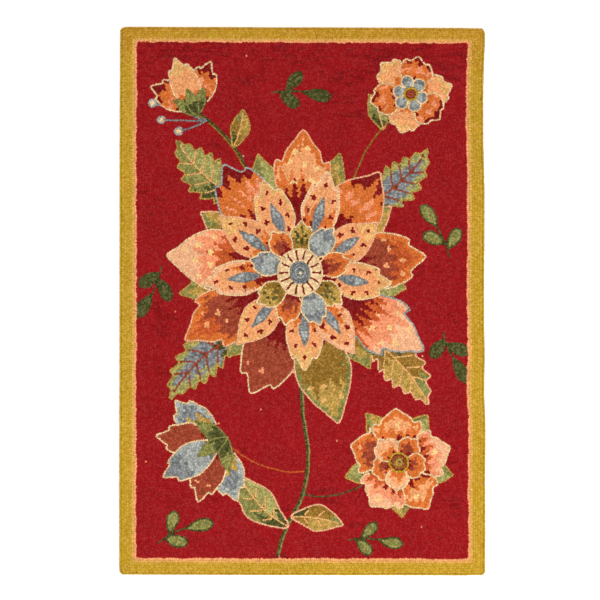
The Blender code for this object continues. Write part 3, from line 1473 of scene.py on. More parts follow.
@dataclass(frozen=True)
class Tier:
    """One ring of a flower's petals.

    Attributes:
        count: How many petals it has.
        start: How far from the middle they start.
        end: How far from the middle they end.
        width: How wide they are.
        turn: Where the first petal points, in degrees.
        silhouettes: Their outlines, taken in turn.
        shadings: Their wools, taken in turn.
        outlines: The wools of their outlines, taken in turn.
        heart: The wools of a small lance on each petal with dark spots about it, or None.
        ground: The radius of the dark ground under them.
        uneven: How much their lengths differ.
        stretch: How much taller than wide the ring is.
    """

    count: int
    start: float
    end: float
    width: float
    turn: float
    silhouettes: tuple[Silhouette, ...]
    shadings: tuple[Shading, ...]
    outlines: tuple[Wool, ...] = (Wool.CREAM,)
    heart: Shading | None = None
    ground: float = 0.0
    uneven: float = 0.05
    stretch: float = 1.0

    ASTRAY = 4.5
    BEND = 18.0
    HEART_START = 0.22
    HEART_SIZE = (0.44, 0.25)
    SPECKS = ((0.24, 0.6), (0.24, -0.6), (0.44, 0.64), (0.44, -0.64), (0.64, 0.6), (0.64, -0.6), (0.82, 0.0))
    SPECK = 1.5
    PETAL_SEED = 10
    HEART_SEED = 5

    def draw(self, chart: Chart, centre: Point, seed: int) -> None:
        """Draws the ring, every other petal first and the ones between them on top.

        Args:
            chart: The chart.
            centre: The flower's middle.
            seed: The seed of its petals.
        """
        if self.ground:
            Disc(centre, self.ground, Wool.GARNET, stretch=self.stretch).draw(chart)
        chance = np.random.default_rng(seed)
        strays = chance.uniform(-1, 1, (self.count, 3))
        for index in (*range(0, self.count, 2), *range(1, self.count, 2)):
            longer, aside, bend = strays[index]
            angle = math.radians(self.turn + 360 * index / self.count + self.ASTRAY * aside)
            right, up = math.cos(angle), self.stretch * math.sin(angle)
            petal = Blade(
                base=(centre[0] + self.start * right, centre[1] + self.start * up),
                heading=math.degrees(math.atan2(up, right)) - 0.5 * self.BEND * bend,
                length=(self.end * (1 + self.uneven * longer) - self.start) * math.hypot(right, up),
                width=self.width * (1 + 0.5 * self.uneven * aside),
                silhouette=self.silhouettes[index % len(self.silhouettes)],
                shading=self.shadings[index % len(self.shadings)],
                outline=self.outlines[index % len(self.outlines)],
                bend=self.BEND * bend,
            )
            petal.draw(chart, seed + self.PETAL_SEED * index)
            if self.heart:
                Blade(
                    base=petal.spot(self.HEART_START),
                    heading=petal.heading + self.HEART_START * petal.bend,
                    length=self.HEART_SIZE[0] * petal.length,
                    width=self.HEART_SIZE[1] * petal.width,
                    silhouette=Silhouette.LANCE,
                    shading=self.heart,
                    outline=Wool.SLATE,
                    bend=0.5 * petal.bend,
                ).draw(chart, seed + self.PETAL_SEED * index + self.HEART_SEED)
                for place, side in self.SPECKS:
                    Disc(petal.spot(place, side), self.SPECK, Wool.GARNET).draw(chart)


@dataclass(frozen=True)
class Flower:
    """An open flower, seen from the front.

    Attributes:
        centre: Its middle.
        tiers: Its rings of petals, from the outermost in.
        eye: The discs in its middle, from the largest to the smallest.
    """

    centre: Point
    tiers: tuple[Tier, ...]
    eye: tuple[Disc, ...]

    TIER_SEED = 1000

    def draw(self, chart: Chart, seed: int) -> None:
        """Draws the flower.

        Args:
            chart: The chart.
            seed: The seed of its random draws.
        """
        for index, tier in enumerate(self.tiers):
            tier.draw(chart, self.centre, seed + self.TIER_SEED * index)
        for disc in self.eye:
            disc.draw(chart)


@dataclass(frozen=True)
class Fan:
    """A flower or bud seen from the side: petals that spread from one point, and a calyx.

    Attributes:
        base: Where the petals start.
        heading: Where the middle one points, in degrees.
        spread: How far the outermost ones turn away from it.
        petals: How many petals there are.
        length: How long they are.
        width: How wide they are.
        shadings: Their wools, from the outermost in.
        silhouette: Their outline.
        sepals: The wools of the calyx.
    """

    base: Point
    heading: float
    spread: float
    petals: int
    length: float
    width: float
    shadings: tuple[Shading, ...]
    silhouette: Silhouette = Silhouette.POINTED
    sepals: Shading = SHADE

    SHORTER = 0.10
    BEND = 22
    BACK = 0.10
    SEPAL_SPREAD = 0.72
    SEPAL_SIZE = (0.52, 0.40)
    SEPAL_BEND = 30
    PETAL_SEED = 10
    SEPAL_SEED = 100

    def draw(self, chart: Chart, seed: int) -> None:
        """Draws the petals from the outermost in, and the calyx over their bases.

        Args:
            chart: The chart.
            seed: The seed of its random draws.
        """
        half = self.petals // 2
        for rank in range(half, -1, -1):
            for side in (-1, 1) if rank else (1,):
                share = side * rank / max(half, 1)
                Blade(
                    base=self.base,
                    heading=self.heading + share * self.spread,
                    length=self.length * (1 - self.SHORTER * abs(share)),
                    width=self.width,
                    silhouette=self.silhouette,
                    shading=self.shadings[(half - rank) % len(self.shadings)],
                    bend=share * self.BEND,
                ).draw(chart, seed + self.PETAL_SEED * rank + side)
        heading = math.radians(self.heading)
        back = self.BACK * self.length
        start = (self.base[0] - back * math.cos(heading), self.base[1] - back * math.sin(heading))
        for share in (-1, 1, 0):
            Blade(
                base=start,
                heading=self.heading + share * self.SEPAL_SPREAD * self.spread,
                length=self.SEPAL_SIZE[0] * self.length,
                width=self.SEPAL_SIZE[1] * self.width,
                silhouette=Silhouette.LANCE,
                shading=self.sepals,
                outline=Wool.SAGE,
                bend=share * self.SEPAL_BEND,
            ).draw(chart, seed + self.SEPAL_SEED + share)


@dataclass(frozen=True)
class Berries:
    """Round berries on short twigs.

    Attributes:
        start: Where the twigs leave the stem.
        ends: Where the berries sit.
        radius: How large they are.
        wool: Their wool.
        outline: The wool of their outline.
    """

    start: Point
    ends: tuple[Point, ...]
    radius: float = 5.0
    wool: Wool = Wool.CREAM
    outline: Wool = Wool.MIST

    BOW = 3

    def draw(self, chart: Chart) -> None:
        """Draws the twigs and then the berries.

        Args:
            chart: The chart.
        """
        for end in self.ends:
            middle = ((self.start[0] + end[0]) / 2 + self.BOW, (self.start[1] + end[1]) / 2)
            Stem((self.start, middle, end), (Wool.SLATE,)).draw(chart)
        for end in self.ends:
            Disc(end, self.radius, self.wool, self.outline).draw(chart)


@dataclass(frozen=True)
class Sprig:
    """A small twig with a leaf at its tip and two below it.

    Attributes:
        base: Where it starts.
        heading: Where it points there, in degrees.
        length: How long its twig is.
        bend: How many degrees it turns on its way.
        leaf: The length of a leaf.
        shading: The wool of the leaves.
    """

    base: Point
    heading: float
    length: float
    bend: float = 30.0
    leaf: float = 38.0
    shading: Shading = SPRIG

    LEAVES = ((0.45, 54.0, 0.86), (0.25, -54.0, 0.86), (1.0, 0.0, 1.0))
    LEAF_WIDTH = 0.42
    UNBEND = -0.3
    POINTS = 6

    def draw(self, chart: Chart, seed: int) -> None:
        """Draws the twig and its leaves.

        Args:
            chart: The chart.
            seed: The seed of its random draws.
        """
        axis = Blade(self.base, self.heading, self.length, 1.0, Silhouette.LANCE, SPRIG, bend=self.bend)
        course = axis.placed(np.linspace(0, self.length, self.POINTS), np.zeros(self.POINTS))
        Stem(tuple(map(tuple, course.tolist())), (Wool.PINE,)).draw(chart)
        for index, (share, turn, size) in enumerate(self.LEAVES):
            Blade(
                base=axis.spot(share),
                heading=self.heading + share * self.bend + turn,
                length=self.leaf * size,
                width=self.LEAF_WIDTH * self.leaf,
                silhouette=Silhouette.PADDLE,
                shading=self.shading,
                outline=Wool.PINE,
                bend=self.UNBEND * turn,
            ).draw(chart, seed + index)


Motif = Leaf | Sprig | Fan | Flower


@dataclass(frozen=True)
class Garden:
    """The whole design: one large flower with smaller ones on stems about it, on the field.

    Attributes:
        centre: The middle of the large flower.
        stretch: How much taller than wide it is.
        eye_stretch: How much taller than wide its eye is.
        stems: The stems, from the one that lies behind.
        leaves: The large leaves behind the large flower, and those on the stems.
        sprigs: The small dark sprigs that fill the field.
        berries: The berries.
        blossom: The middle of the blossom at the top right.
        rose: The middle of the rose at the lower right.
    """

    centre: Point = (-3.0, 40.0)
    stretch: float = 1.10
    eye_stretch: float = 1.06
    stems: tuple[Stem, ...] = (
        Stem(((0, -268), (34, -272), (70, -262), (110, -238)), (Wool.PINE,)),
        Stem(((6, -236), (-30, -236), (-74, -220), (-108, -196)), (Wool.EMBER,)),
        Stem(((-60, 150), (-96, 214), (-126, 246), (-150, 262)), (Wool.BRONZE, Wool.PINE)),
        Stem(((60, 150), (96, 222), (128, 256), (146, 272)), (Wool.BRONZE,)),
        Stem(((-34, -354), (-24, -318), (0, -270), (8, -215), (0, -150), (-4, -60)), (Wool.PINE, Wool.SAGE)),
    )
    leaves: tuple[Leaf, ...] = (
        Leaf(Blade((-96, 146), 150, 112, 62, Silhouette.TOOTHED, GREEN, Wool.MOSS, -30), Wool.STRAW, 4),
        Leaf(Blade((94, 136), 28, 112, 60, Silhouette.TOOTHED, DEW, Wool.MOSS, 30), Wool.RUST, 4),
        Leaf(Blade((-98, -50), 208, 124, 62, Silhouette.TOOTHED, DEW, Wool.MOSS, 34), Wool.RUST, 4),
        Leaf(Blade((96, -54), -32, 122, 62, Silhouette.TOOTHED, AUTUMN, Wool.SHELL, -34), Wool.STRAW, 4),
        Leaf(Blade((-22, -312), 152, 100, 46, Silhouette.POINTED, GREEN, Wool.SHELL, -40), Wool.STRAW, 3),
        Leaf(Blade((-14, -300), 4, 72, 36, Silhouette.POINTED, AUTUMN, Wool.SHELL, -26), Wool.STRAW, 2),
        Leaf(Blade((-96, 216), 62, 52, 26, Silhouette.POINTED, AUTUMN, Wool.MOSS, 26), Wool.STRAW, 0),
        Leaf(Blade((112, 240), 100, 52, 26, Silhouette.POINTED, GREEN, Wool.MOSS, 26), Wool.STRAW, 0),
    )
    sprigs: tuple[Sprig, ...] = (
        Sprig((-42, 290), 14, 44, bend=-26, shading=DARK),
        Sprig((204, 62), 100, 44, bend=24),
        Sprig((-196, 48), 262, 40, bend=-24, shading=DARK),
        Sprig((64, -332), 10, 42, bend=-20, leaf=34),
        Sprig((-200, -336), 44, 44, bend=-32),
        Sprig((196, -42), 278, 40, bend=24, shading=DARK),
    )
    berries: Berries = Berries((-134, 250), ((-196, 252), (-208, 276), (-172, 236)))
    blossom: Point = (150, 288)
    rose: Point = (134, -224)

    LEAF_SEEDS = (500, 20)
    SPRIG_SEEDS = (900, 10)
    FLOWER_SEEDS = (1100, 100)
    MAIN_SEED = 2000

    def draw(self, chart: Chart) -> None:
        """Draws the design, from what lies behind to what lies in front.

        Args:
            chart: The chart.
        """
        for stem in self.stems:
            stem.draw(chart)
        self.draw_all(self.leaves, chart, *self.LEAF_SEEDS)
        self.draw_all(self.sprigs, chart, *self.SPRIG_SEEDS)
        self.berries.draw(chart)
        self.draw_all(self.small_flowers(), chart, *self.FLOWER_SEEDS)
        self.main_flower().draw(chart, self.MAIN_SEED)

    @staticmethod
    def draw_all(motifs: tuple[Motif, ...], chart: Chart, first: int, step: int) -> None:
        """Draws motifs in order, with seeds that start at the first and go up by a step."""
        for index, motif in enumerate(motifs):
            motif.draw(chart, first + step * index)

    def small_flowers(self) -> tuple[Fan | Flower, ...]:
        """Arranges the flowers at the ends of the stems.

        Returns:
            The bud, the bell, the blossom and the rose.
        """
        return (
            Fan((-148, 264), 112, 28, 3, 80, 40, (GLOWING, HONEY), Silhouette.TULIP),
            Fan((-112, -194), 212, 62, 5, 96, 46, (DUSK, RUSSET, SKY), Silhouette.TULIP),
            Flower(
                self.blossom,
                (
                    Tier(6, 9, 56, 46, 15, (Silhouette.TULIP,), (HONEY, GLOWING), uneven=0.06),
                    Tier(6, 4, 25, 17, 45, (Silhouette.ROUND,), (SKY,)),
                ),
                (Disc(self.blossom, 8.5, Wool.RUST, Wool.GOLD, ((4.5, Wool.RUST),)),),
            ),
            Flower(
                self.rose,
                (
                    Tier(5, 30, 78, 32, 54, (Silhouette.LANCE,), (GREEN, AUTUMN), (Wool.MOSS,)),
                    Tier(5, 12, 72, 66, 18, (Silhouette.LOBED,), (BLUSH, FLAME, COPPER), uneven=0.06),
                    Tier(5, 6, 40, 34, 54, (Silhouette.TULIP,), (COPPER, SUNSET), uneven=0.06),
                ),
                (Disc(self.rose, 13, Wool.BRONZE, Wool.GOLD, ((9, Wool.RUST), (4, Wool.MOSS))),),
            ),
        )

    def main_flower(self) -> Flower:
        """Arranges the large flower.

        Returns:
            The flower.
        """
        sepals = Tier(
            count=9, start=70, end=158, width=44, turn=110, uneven=0.08, stretch=self.stretch,
            silhouettes=(Silhouette.POINTED,),
            shadings=(GREEN, AUTUMN, TURNING),
            outlines=(Wool.MOSS, Wool.SHELL, Wool.MOSS),
        )
        outer = Tier(
            count=9, start=56, end=183, width=80, turn=90, uneven=0.09, stretch=self.stretch,
            silhouettes=(Silhouette.LOBED, Silhouette.TULIP, Silhouette.POINTED),
            shadings=(FLAME, GLOWING, BLUSH, COPPER, RUSSET, TURNING, BLUSH, COPPER, GLOWING),
            outlines=(Wool.SHELL, Wool.MIST, Wool.CREAM, Wool.SHELL, Wool.CREAM),
        )
        middle = Tier(
            count=9, start=34, end=128, width=50, turn=110, uneven=0.08, stretch=self.stretch,
            silhouettes=(Silhouette.TULIP, Silhouette.POINTED),
            shadings=(PALE, HONEY, SUNSET),
            outlines=(Wool.CREAM, Wool.SHELL),
            heart=HEART, ground=92,
        )
        inner = Tier(
            count=9, start=22, end=70, width=34, turn=90, uneven=0.07, stretch=self.stretch,
            silhouettes=(Silhouette.TULIP,),
            shadings=(POD, COPPER, SKY),
            ground=48,
        )
        eye = Disc(
            self.centre, 31, Wool.CREAM, Wool.CREAM,
            ((13, Wool.SLATE), (10, Wool.SLATE), (6.8, Wool.MIST), (3.4, Wool.SLATE)),
            rays=14, ray=(17.5, 27.0), stretch=self.eye_stretch,
        )
        return Flower(self.centre, (sepals, outer, middle, inner), (eye,))


# -------- Materials --------


WHITE = (1.0, 1.0, 1.0, 1.0)


class Value:
    """A number that varies over a surface, for use in Python expressions."""

    def __init__(self, tree: bpy.types.NodeTree, socket: bpy.types.NodeSocket) -> None:
        """Wraps an output socket of a tree."""
        self.tree = tree
        self.socket = socket

    def maths(self, operation: str, first: "Value | float", second: "Value | float") -> "Value":
        """Adds a Math node.

        Args:
            operation: What it does.
            first: Its first value.
            second: Its second value.

        Returns:
            Its result.
        """
        node = self.tree.nodes.new("ShaderNodeMath")
        node.operation = operation
        for socket, value in zip(node.inputs, (first, second)):
            if isinstance(value, Value):
                self.tree.links.new(value.socket, socket)
            else:
                socket.default_value = value
        return Value(self.tree, node.outputs[0])

    def __add__(self, other: "Value | float") -> "Value":
        """Returns the sum."""
        return self.maths("ADD", self, other)

    def __radd__(self, other: float) -> "Value":
        """Returns the sum."""
        return self.maths("ADD", other, self)

    def __sub__(self, other: "Value | float") -> "Value":
        """Returns the difference."""
        return self.maths("SUBTRACT", self, other)

    def __rsub__(self, other: float) -> "Value":
        """Returns the difference, the other way round."""
        return self.maths("SUBTRACT", other, self)

    def __mul__(self, other: "Value | float") -> "Value":
        """Returns the product."""
        return self.maths("MULTIPLY", self, other)

    def __rmul__(self, other: float) -> "Value":
        """Returns the product."""
        return self.maths("MULTIPLY", other, self)

    def sine(self) -> "Value":
        """Returns the sine of the value."""
        return self.maths("SINE", self, 0.0)

    def clamped(self) -> "Value":
        """Returns the value, kept between 0 and 1."""
        return self.maths("MINIMUM", self.maths("MAXIMUM", self, 0.0), 1.0)


class Finish:
    """The node tree of one material."""

    GLOSS = 0.12
    SHEEN_ROUGHNESS = 0.6
    NOISE = {"Detail": 3.0, "Roughness": 0.6}

    def __init__(self, name: str, roughness: float, sheen: float) -> None:
        """Makes a material.

        Args:
            name: The material's name.
            roughness: How matt it is.
            sheen: How much light its fibres scatter at its edges.
        """
        self.material = bpy.data.materials.new(name)
        self.material.use_nodes = True
        self.tree = self.material.node_tree
        self.shader = self.tree.nodes["Principled BSDF"]
        for name, value in (
            ("Roughness", roughness),
            ("Specular IOR Level", self.GLOSS),
            ("Sheen Weight", sheen),
            ("Sheen Roughness", self.SHEEN_ROUGHNESS),
        ):
            self.shader.inputs[name].default_value = value

    def node(self, kind: str, settings: dict[str, object], inputs: dict[str, object]) -> bpy.types.Node:
        """Makes a node.

        Args:
            kind: The node's type.
            settings: Its own settings, by name.
            inputs: The values or the links of its sockets, by name or number.

        Returns:
            The node.
        """
        node = self.tree.nodes.new(kind)
        for name, setting in settings.items():
            setattr(node, name, setting)
        for name, value in inputs.items():
            if isinstance(value, Value):
                self.tree.links.new(value.socket, node.inputs[name])
            else:
                node.inputs[name].default_value = value
        return node

    def value(self, socket: bpy.types.NodeSocket) -> Value:
        """Returns an output socket as a value."""
        return Value(self.tree, socket)

    def attribute(self, name: str, output: str = "Fac") -> Value:
        """Returns one of the mesh's attributes, as a number or as another output."""
        return self.value(self.node("ShaderNodeAttribute", {"attribute_name": name}, {}).outputs[output])

    def place(self) -> Value:
        """Returns the place on the piece, in metres."""
        return self.value(self.node("ShaderNodeTexCoord", {}, {}).outputs["Object"])

    def split(self, vector: Value) -> list[Value]:
        """Returns the three parts of a vector."""
        return [self.value(part) for part in self.node("ShaderNodeSeparateXYZ", {}, {0: vector}).outputs]

    def noise(self, place: Value, scale: float) -> Value:
        """Returns noise from 0 to 1 over places, with so many spots in a metre."""
        inputs = {"Vector": place, "Scale": scale, **self.NOISE}
        return self.value(self.node("ShaderNodeTexNoise", {}, inputs).outputs["Fac"])

    def blended(self, share: Value, first: object, second: object, way: str = "MIX") -> Value:
        """Returns a colour with a share, from 0 to 1, of a second one mixed into it or added to it."""
        settings = {"data_type": "RGBA", "blend_type": way}
        return self.value(self.node("ShaderNodeMix", settings, {0: share, 6: first, 7: second}).outputs[2])

    def paint(self, colour: Value) -> None:
        """Gives the surface a colour."""
        self.tree.links.new(colour.socket, self.shader.inputs["Base Color"])

    def emboss(self, height: Value, depth: float, strength: float) -> None:
        """Gives the surface a relief.

        Args:
            height: The relief, from 0 to 1.
            depth: How deep it is, in metres.
            strength: How much of it shows.
        """
        inputs = {"Height": height, "Distance": depth, "Strength": strength}
        bump = self.node("ShaderNodeBump", {}, inputs)
        self.tree.links.new(bump.outputs["Normal"], self.shader.inputs["Normal"])


def shaded(colour: Colour, share: float) -> tuple[float, float, float, float]:
    """Returns a colour made lighter or darker, with full alpha."""
    red, green, blue = (min(channel * share, 1.0) for channel in colour)
    return red, green, blue, 1.0


@dataclass(frozen=True)
class WoolFinish:
    """Spun wool: a matt twisted yarn, uneven in its dye, with painted shade that makes it darker down between
    the loops, and pale fibres, partly painted sheen, on its lighter loops.

    Attributes:
        wool: The wool.
        depth: How bright its loops are at the foot, where painted shade darkens them down between the loops.
        twists: How many turns of the yarn there are in a millimetre.
        slant: How much the turns slant.
        patches: How many patches of dye there are in a metre.
        fibres: How many fibres there are in a metre.
        relief: How deep the turns and the fibres are, in metres.
    """

    wool: Wool
    depth: float = 0.72
    twists: float = 0.62
    slant: float = 0.85
    patches: float = 34.0
    fibres: float = 1500.0
    relief: float = 0.0005

    FUZZ_AND_SHEEN_MEAN = 1 / 3
    PATCHY = 1.8
    FIBROUS = 0.35
    TURNED = 0.28
    ROUGH = 0.8
    STRENGTH = 0.75

    def material(self) -> bpy.types.Material:
        """Makes the wool's material.

        Returns:
            The material.
        """
        dye = self.wool.dye
        # The dye is lowered by the mean of the pale fibres and painted sheen that are added below.
        colour = tuple(max(channel - dye.fuzz_and_sheen * self.FUZZ_AND_SHEEN_MEAN, 0.0) for channel in dye.colour())
        finish = Finish(f"wool_{self.wool.name.lower()}", roughness=0.95, sheen=0.03)
        place = finish.place()
        shade = finish.attribute("shade")
        rise = finish.attribute("rise")
        patches = finish.noise(place, self.patches)
        fibres = finish.noise(place, self.fibres)
        spread = dye.vary + dye.mottle
        lightness = (
            0.5
            + (shade - 0.5) * (dye.vary / spread)
            + (patches - 0.5) * (self.PATCHY * dye.mottle / spread)
            + (fibres - 0.5) * self.FIBROUS
        )
        dark = shaded(colour, 1 - spread)
        light = shaded(colour, 1 + spread)
        surface = finish.blended(lightness.clamped(), dark, light)
        # Pale fibres and painted sheen, added to the lighter loops, more so the higher the loop's random
        # shade.
        fuzz_and_sheen = (dye.fuzz_and_sheen, dye.fuzz_and_sheen, dye.fuzz_and_sheen, 1.0)
        surface = finish.blended(shade * shade, surface, fuzz_and_sheen, "ADD")
        # Painted shade: each loop darkens towards its foot as its rise falls, down between the loops.
        finish.paint(finish.blended(rise.clamped(), shaded(colour, self.depth), surface))
        along, across, start = finish.split(finish.attribute("yarn", "Vector"))
        strands = ((along + self.slant * across) * (2 * math.pi * self.twists) + start).sine()
        relief = 0.5 + self.TURNED * strands + (fibres - 0.5) * self.ROUGH
        finish.emboss(relief, self.relief, self.STRENGTH)
        return finish.material


@dataclass(frozen=True)
class ClothFinish:
    """Plain woven foundation cloth of undyed cotton. Its upper side, under the loops, is painted in a dark
    wool tone, partly the loops' own wool and partly painted shade down between them.

    Attributes:
        look: Its colour on a display.
        shaded_feet: The colour of its upper side, which the loops cover: a dark wool tone, partly the loops'
            own wool and partly painted shade between them.
        threads: How many threads there are in a millimetre.
        slubs: How many thicker spots there are in a metre.
        upper: Where the upper side starts, in metres.
        relief: How deep the weave is, in metres.
    """

    look: Look = (196, 176, 142)
    shaded_feet: Look = (92, 34, 24)
    threads: float = 0.55
    slubs: float = 260.0
    upper: float = 0.0017
    relief: float = 0.0004

    SHARPNESS = 1e6
    DARK = 0.72
    LIGHT = 1.08
    WOVEN = 0.55
    UNEVEN = 0.55
    DULLER = 0.05
    WEAVE_RELIEF = 0.8
    SLUB_RELIEF = 0.3
    STRENGTH = 0.8

    def material(self) -> bpy.types.Material:
        """Makes the cloth's material.

        Returns:
            The material.
        """
        colour = tuple(linear(channel) for channel in self.look)
        finish = Finish("foundation_cotton", roughness=0.9, sheen=0.15)
        place = finish.place()
        across, along, height = finish.split(place)
        turns = 2 * math.pi * self.threads / MM
        over = 0.5 + 0.5 * ((across * turns).sine() * (along * turns).sine())
        slubs = finish.noise(place, self.slubs)
        share = (over * self.WOVEN + slubs * self.UNEVEN - self.DULLER).clamped()
        cotton = finish.blended(share, shaded(colour, self.DARK), shaded(colour, self.LIGHT))
        # Painted shade: the upper side, seen only down between the loops, takes the dark wool tone.
        shaded_feet = tuple(linear(channel) for channel in self.shaded_feet)
        shaded_feet_mask = ((height - self.upper) * self.SHARPNESS).clamped()
        finish.paint(finish.blended(shaded_feet_mask, cotton, shaded(shaded_feet, 1.0)))
        finish.emboss(over * self.WEAVE_RELIEF + slubs * self.SLUB_RELIEF, self.relief, self.STRENGTH)
        return finish.material


@dataclass(frozen=True)
class FloorFinish:
    """The plain pale floor.

    Attributes:
        shade: How light it is.
        glow: How much light it gives, as a lit table does.
    """

    shade: float = 0.9
    glow: float = 0.35

    def material(self) -> bpy.types.Material:
        """Makes the floor's material.

        Returns:
            The material.
        """
        finish = Finish("pale_floor", roughness=0.9, sheen=0.0)
        finish.shader.inputs["Base Color"].default_value = (self.shade, self.shade, self.shade, 1.0)
        finish.shader.inputs["Emission Color"].default_value = WHITE
        finish.shader.inputs["Emission Strength"].default_value = self.glow
        return finish.material


# -------- Meshes --------


@dataclass(frozen=True)
class LoopForm:
    """The form of a loop of the pile: a short fat arch of yarn, as long and as wide as 1.

    Attributes:
        corners: How many corners its rings have.
        rings: Rows of (size, depth below the top, more depth at the ends, rise), from the lowest ring up. The
            depths are in millimetres, and rise is 0 at the foot and 1 at the top.
    """

    corners: int
    rings: tuple[tuple[float, float, float, float], ...]

    CELL_REACH = 0.47

    def points(self) -> Array:
        """Makes the loop's points.

        Returns:
            The points, the top last.
        """
        points = []
        for index, (size, depth, sag, _) in enumerate(self.rings):
            x, y = size / 2 * self.corner(index)
            points.append(np.stack([x, y, -depth - sag * self.corner(index)[0] ** 2], axis=1))
        return np.vstack([*points, np.zeros((1, 3))])

    def corner(self, ring: int) -> Array:
        """Returns the ways to a ring's corners, x and y. Every other ring is turned by half a step."""
        angles = (np.arange(self.corners) + 0.5 * (ring % 2)) * 2 * math.pi / self.corners
        return np.array([np.cos(angles), np.sin(angles)])

    def rises(self) -> Array:
        """Returns the rise of each point."""
        return np.array([row[3] for row in self.rings for _ in range(self.corners)] + [1.0])

    def cells(self) -> Array:
        """Lays the loop out flat.

        Returns:
            The place of each point in the loop's cell of the image, from the cell's middle.
        """
        count = len(self.rings)
        places = [self.CELL_REACH * (1 - index / count) * self.corner(index).T for index in range(count)]
        return np.vstack([*places, np.zeros((1, 2))])

    def triangles(self) -> Array:
        """Joins the rings with triangles.

        Returns:
            The corners of each triangle.
        """
        count = self.corners
        triangles = []
        for ring in range(len(self.rings) - 1):
            low = ring * count
            high = low + count
            for i in range(count):
                j = (i + 1) % count
                first, second = (low + i, high + j) if ring % 2 else (low + j, high + i)
                triangles += [(low + i, low + j, second), (first, high + j, high + i)]
        crown = (len(self.rings) - 1) * count
        triangles += [(crown + i, crown + (i + 1) % count, crown + count) for i in range(count)]
        return np.array(triangles)


INNER_LOOP = LoopForm(6, ((1.90, 2.5, 0.2, 0.0), (0.86, 0.40, 0.22, 0.90)))
RIM_LOOP = LoopForm(
    8, ((0.86, 7.6, 0.0, 0.0), (1.06, 4.6, 0.2, 0.35), (1.10, 2.2, 0.3, 0.65), (0.76, 0.45, 0.25, 0.95))
)


def fit(piece: bpy.types.Object) -> None:
    """Puts a piece of the rug into the scene.

    Args:
        piece: The piece.
    """
    bpy.context.scene.collection.objects.link(piece)
    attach(piece, BODY)
    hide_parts(NODE)


